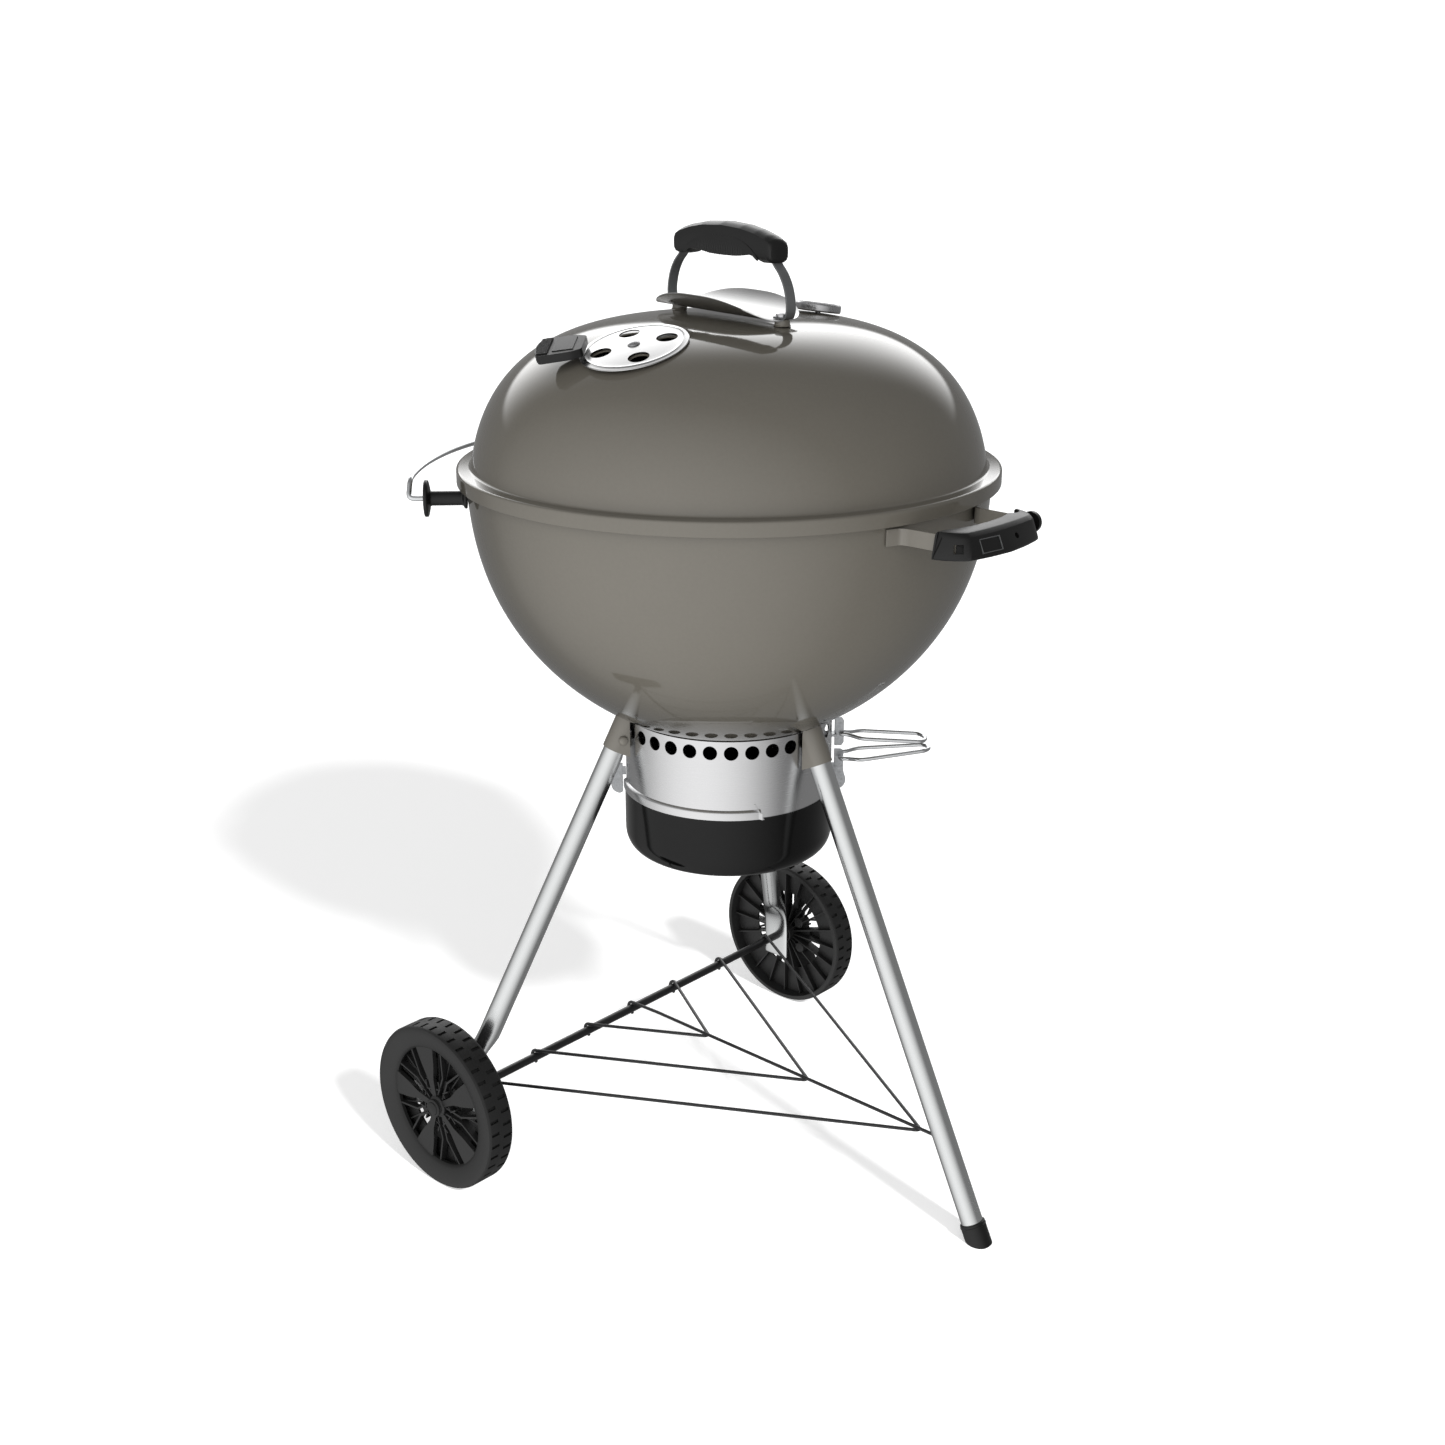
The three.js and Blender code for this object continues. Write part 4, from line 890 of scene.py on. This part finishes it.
def ring_sheet():
    """The punched wall: each hole sits in its own cell of a grid, and the lever's slot is left open."""
    shape = bmesh.new()
    step = 360 / RING["holes"]
    half_arc = math.radians(step / 2) * RING["radius"]
    half_z = 10.5
    slot_low, slot_high = 502.5, 511.5
    top = shell_height(BOWL, -1, RING["radius"] - RING["sheet"]) - 0.3
    outer_skin, inner_of = {}, {}

    def vert(x, z, cell):
        azimuth = cell * step + RING["first"] + math.degrees(x / RING["radius"])
        point = polar(RING["radius"], azimuth, z)
        key = tuple(round(c, 2) for c in point)
        if key not in outer_skin:
            outer_skin[key] = shape.verts.new(point)
            inner_of[outer_skin[key]] = shape.verts.new(polar(RING["radius"] - RING["sheet"], azimuth, z))
        return outer_skin[key]

    def wall(points, cell):
        row = [vert(x, z, cell) for x, z in points]
        shape.faces.new(row)
        shape.faces.new([inner_of[v] for v in reversed(row)])

    xs = sorted({round(half_arc * math.tan(math.radians(a)), 4) for a in (-45, -30, -15, 0, 15, 30, 45)})
    spokes = [15 * k for k in range(24)]

    def on_square(angle):
        c, s = math.cos(math.radians(angle)), math.sin(math.radians(angle))
        if abs(c) >= abs(s) - 1e-9:
            return (math.copysign(half_arc, c), RING["hole_z"] + half_z * s / abs(c))
        return (half_arc * c / abs(s), RING["hole_z"] + math.copysign(half_z, s))

    for cell in range(RING["holes"]):
        azimuth = cell * step + RING["first"]
        azimuth = azimuth - 360 if azimuth > 180 else azimuth
        for low, high in ((RING["bottom"], slot_low), (slot_low, slot_high), (slot_high, RING["hole_z"] - half_z)):
            if low == slot_low and -56 < azimuth < 11:
                continue
            for a, b in zip(xs, xs[1:]):
                wall([(a, low), (b, low), (b, high), (a, high)], cell)
        for a, b in zip(xs, xs[1:]):
            z = RING["hole_z"] + half_z
            wall([(a, z), (b, z), (b, top), (a, top)], cell)
        for k in spokes:
            outer_a, outer_b = on_square(k), on_square(k + 15)
            rim = [polar(RING["hole"], angle, 0) for angle in (k + 15, k)]
            wall([outer_a, outer_b, *[(p.x, RING["hole_z"] + p.y) for p in rim]], cell)
    for edge in [e for e in shape.edges if len(e.link_faces) == 1 and e.verts[0] in inner_of]:
        a, b = edge.verts
        shape.faces.new([a, b, inner_of[b], inner_of[a]])
    return shape


lip_profile = [(118.0, 461.4), (118.8, 461.0), (121.0, 459.4), (121.4, 458.6), (121.4, 450.8), (120.4, 450.8),
               (120.2, 458.2), (118.0, 459.8)]
lip = lathe(lip_profile, 56, -221, -121)
tab = prism([(117.6, -6.5), (125, -1.2), (125, 0), (117.6, -4.2)], 450.9, 459)
fold = loft([[(117.8, -6.5, 468), (119, -6.5, 468), (119, -5.5, 468), (117.8, -5.5, 468)],
             [(118, 2, 451.0), (125, 2, 451.0), (125, 3.2, 451.0), (118, 3.2, 451.0)]])
piece("ring_band", "base", RING_METAL, joined(ring_sheet(), lip), ["ash_ring"], crease=40)
piece("ring_tab", "base", RING_METAL,
      joined(moved(tab, turned(-120.6)), moved(fold, turned(-121.2))), bevel=0.3)


def fin(outline, thickness, azimuth):
    """A plate drawn as [radius, z], standing in the radial plane at an azimuth."""
    upright = placed((0, 0, 0), (0, -1, 0), (1, 0, 0))
    return moved(prism(outline, -thickness / 2, thickness / 2), turned(azimuth) @ upright)


def ear(reach, top):
    """Outline of an ear: a round tip low down, then straight up to a clipped corner."""
    return eased_path(
        [(122, 441), (126, 439), (132, 441.5), (135.4, 447), (135.6, 453), (133.4, 459), (reach, 464),
         (reach, top - 3), (reach - 3, top), (122, top)], [1, 2, 3, 3, 3, 3, 3, 2, 2, 1], 4, True)


ear_foot = [(118.3, 462), (122.4, 462), (122.4, 472), (118.3, 472)]
for side, azimuth, reach, top in (("right", -45, 132.6, 489), ("left", 135, 130.5, 476)):
    shape = joined(fin(ear(reach, top), 3, azimuth), fin(ear_foot, 3, azimuth))
    piece(f"ear_plate_{side}", "base", ZINC, shape, [f"ear_{side}"], bevel=0.5)

# ---- Ash pan ----
pan_outer = eased_path([(0, 376), (119.5, 376), (119.5, 450.5)], [0, 26, 0], 14)
pan_inner = eased_path([(118.1, 450.5), (118.1, 377.4), (0, 377.4)], [0, 25, 0], 14)
pan = lathe(pan_outer + pan_inner, 144)
piece("ash_pan_shell", "pan", PAN_ENAMEL, pan, ["ash_pan"], crease=40)


def at_lever(radius, side, z):
    return polar(radius, LEVER_AZIMUTH, z) + polar(side, LEVER_AZIMUTH + 90, 0)


def mirrored(points):
    across = polar(1, LEVER_AZIMUTH + 90, 0)
    return [p - across * (2 * p.dot(across)) for p in points]


catch_half = [at_lever(128, 0, 480.4), at_lever(128, 11.7, 480.4), at_lever(136, 12, 480.5), at_lever(151, 20, 481.5),
              at_lever(227, 10.5, 488), at_lever(233, 0, 488)]
catch_loop = catch_half[1:] + mirrored(catch_half[1:-1])[::-1]
piece("catch_wire", "catch", BRIGHT_WIRE, tube(eased_path(catch_loop, 7, 6, True), 2.3, 14, True),
      ["pan_catch"], crease=60)
lever_half = [at_lever(127.5, 4.2, 508), at_lever(138, 4.4, 507), at_lever(152, 14.6, 505.2),
              at_lever(222, 14.6, 500.2), at_lever(228.5, 0, 500)]
lever_path = eased_path(lever_half + mirrored(lever_half[:-1])[::-1], 7, 6)
piece("lever_wire", "damper", BRIGHT_WIRE, tube(lever_path, 2.3, 14), ["damper_lever"], crease=60)
arm = moved(prism([(-12, -7), (-12, 7), (124, 7), (124, -7)], 505.5, 508.5), turned(LEVER_AZIMUTH))
yoke = fin([(121.9, 493), (130, 493), (132.6, 497), (132.6, 523), (130, 527), (121.9, 527)], 3, LEVER_AZIMUTH)
piece("lever_bracket", "damper", ZINC, joined(arm, yoke), ["lever_arm"], bevel=0.5)

# ---- Grates ----
def grate(z, radius, thin, rim, pitch, crossbars):
    """Thin wires a pitch apart, over a hoop and crossbars of the rim's radius."""
    hoop = [(radius - rim + rim * math.cos(t), z + rim * math.sin(t)) for t in (math.pi * i / 6 for i in range(12))]
    shapes = [lathe(hoop, 128)]
    count = int((radius - 2 * rim) / pitch)
    for k in range(-count, count + 1):
        reach = math.sqrt((radius - rim) ** 2 - (k * pitch) ** 2)
        shapes.append(tube([(k * pitch, -reach, z + thin), (k * pitch, reach, z + thin)], thin, 10))
    for y in crossbars:
        reach = math.sqrt((radius - rim) ** 2 - y * y)
        shapes.append(tube([(-reach, y, z - thin), (reach, y, z - thin)], rim, 10))
    return shapes


def grate_loop(side):
    """A carrying handle at the grate's edge."""
    path = [(-38, side * 268, 790), (-38, side * 266, 806), (38, side * 266, 806), (38, side * 268, 790)]
    return tube(eased_path(path, 10, 6), 2.6, 12)


piece("cooking_grate_wires", "cooking", BRIGHT_WIRE,
      joined(*grate(790, 272, 2.2, 3, 15, (-120, 0, 120)), grate_loop(1), grate_loop(-1)), ["cooking_grate"], crease=50)
piece("charcoal_grate_wires", "charcoal", STEEL,
      joined(*grate(640, 216, 3.2, 3.2, 20, (-90, 90))), ["charcoal_grate"], crease=50)

# ---- Front handle ----
for side, sign in (("right", 1), ("left", -1)):
    root = polar(285.0 + 1.1, -90 + sign * 16, 0)
    path = eased_path([(root.x, root.y), (sign * 66, -279.6), (sign * 63, -281.8), (sign * 61.5, -288), (sign * 60, -344)],
                      [0, 2, 2, 4, 0], 4)
    shape = prism(strip_outline(path, 2.2), 788.5, 805.5)
    piece(f"handle_arm_strip_{side}", "base", PAINT, shape, [f"handle_arm_{side}"], crease=35, bevel=0.4)

GRIP_FRONT_TOP = [(0, -360.5), (24, -360), (48, -357.8), (56, -356), (62, -351), (67, -342), (69, -334)]
GRIP_FRONT_LOW = [(0, -370), (26, -367.8), (50, -363.4), (58, -361), (66, -352.5), (73, -341), (75.6, -330)]
GRIP_BACK = [(0, -338), (26, -336.6), (48, -332), (58, -328.5), (66, -326.5), (75.6, -326.5)]


def front_section(x):
    """The ends lean in: every level has its own reach, so the sides taper upwards."""
    share = x / 75.6
    low, back = along_line(GRIP_FRONT_LOW, abs(x)), along_line(GRIP_BACK, abs(x))
    top_x = share * 69
    top = along_line(GRIP_FRONT_TOP, abs(top_x))
    mid_x, upper_x = x * 0.45 + top_x * 0.55, top_x * 0.99
    return [(top_x * 1.02, back, 806), (x, back - 0.6, 785.4), (x * 0.995, back - 1.8, 784), (x * 0.995, low + 3, 784),
            (x, low + 0.5, 785.2), (x, low, 787.5), (mid_x, (low + top) / 2 - 0.5, 796.5), (top_x, top, 804.3),
            (upper_x, top + 0.7, 806.2), (upper_x * 0.985, top + 4.4, 809.5), (upper_x * 0.98, top + 5.8, 810),
            (upper_x, back - 1.8, 810), (top_x, back - 0.2, 808.8)]


front_stations = [-75.6, -75.2, -74, -72, -70, -67, -64, -61, -58, -54, -50, -40, -30, -20, -10, 0]
front_stations += [-x for x in front_stations[-2::-1]]
grip = loft([front_section(x) for x in front_stations])


def front_face(x, z):
    """A point on the grip's leaning front face."""
    share = (z - 787.5) / (804.3 - 787.5)
    low, top = along_line(GRIP_FRONT_LOW, abs(x)), along_line(GRIP_FRONT_TOP, abs(x))
    return Vector((x, low * (1 - share) + top * share, z))


def on_front(x, z):
    """A frame on the front face, with its own Z out of the face."""
    point = front_face(x, z)
    along = (front_face(x + 1, z) - point).normalized()
    return placed(point, along.cross(Vector((0, 0.43, 0.9))), along)


pocket = moved(block(-4.8, 4.8, -4.4, 4.4, -13, 4), on_front(-64.5, 795.5))
oval_cut = moved(lathe([(0, -4), (3.1, -4), (3.1, 4), (0, 4)], 28), on_front(14, 797.5))
scoop = moved(lathe([(0, -6), (11, -6), (11, 8), (0, 8)], 40),
              placed((54, -327, 808), (0, 0, 1), (1, 0, 0)))
frame_rim = carved(block(-14.5, 14.5, -7.2, 7.2, -1.6, 0.9), block(-13.7, 13.7, -6.4, 6.4, -3, 2))
plaque = moved(frame_rim, on_front(-29, 796.2))
piece("front_grip_body", "base", PLASTIC, carved(grip, pocket, oval_cut, scoop), ["front_grip"],
      crease=24)
piece("front_grip_plaque", "base", STRAP_METAL, plaque, bevel=0.2)
end_disc = lathe([(0, 6), (9.4, 6), (10.6, 5.2), (11, 4), (11, 0), (0, 0)], 48)
piece("front_grip_disc", "base", PLASTIC, end_disc,
      at=placed((73.2, -341, 797), (1, 0, 0), (0, 0, 1)))

# ---- Lid holder ----
HOLDER_Z = 787
SPOOL_ROOT, SPOOL_END = 285, 332
spool_length = SPOOL_END - SPOOL_ROOT
spool_profile = eased_path(
    [(3.1, 0), (11.5, 0.4), (11.5, 3), (7.9, 5), (7.9, spool_length - 7), (14, spool_length - 6),
     (20, spool_length - 4.5), (20, spool_length - 0.5), (8, spool_length), (3.1, spool_length)],
    [0, 0.8, 0.8, 1.5, 2, 0.5, 1.4, 1.2, 0.3, 0], 4, True)
for side, azimuth in (("right", 45), ("left", 135)):
    piece(f"spool_moulding_{side}", "base", PLASTIC, lathe(spool_profile, 64),
          [f"spool_{side}"], crease=35,
          at=placed(polar(SPOOL_ROOT, azimuth, HOLDER_Z), polar(1, azimuth, 0), (0, 0, 1)))
arc = []
for i in range(29):
    azimuth = 132.5 - i * 85 / 28
    edge = abs(azimuth - 90) / 42.5
    arc.append(polar(348, azimuth, HOLDER_Z + 25 - 7 * edge ** 2))
holder = eased_path([polar(288.7, 135, HOLDER_Z), polar(349, 135, HOLDER_Z), *arc, polar(349, 45, HOLDER_Z),
                     polar(288.7, 45, HOLDER_Z)], 7, 6)
piece("holder_wire_bar", "base", BRIGHT_WIRE, tube(holder, 2.8, 16), ["lid_holder_wire"], crease=60)

# ---- CAD nodes that stay get their finishes ----
KEPT = {"cooking_bracket": ZINC, "charcoal_bracket": ZINC, "damper_blade": STEEL, "damper_shaft": ZINC}
for name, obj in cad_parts.items():
    for prefix, material in KEPT.items():
        if name.startswith(prefix):
            obj.data.materials.clear()
            obj.data.materials.append(material)
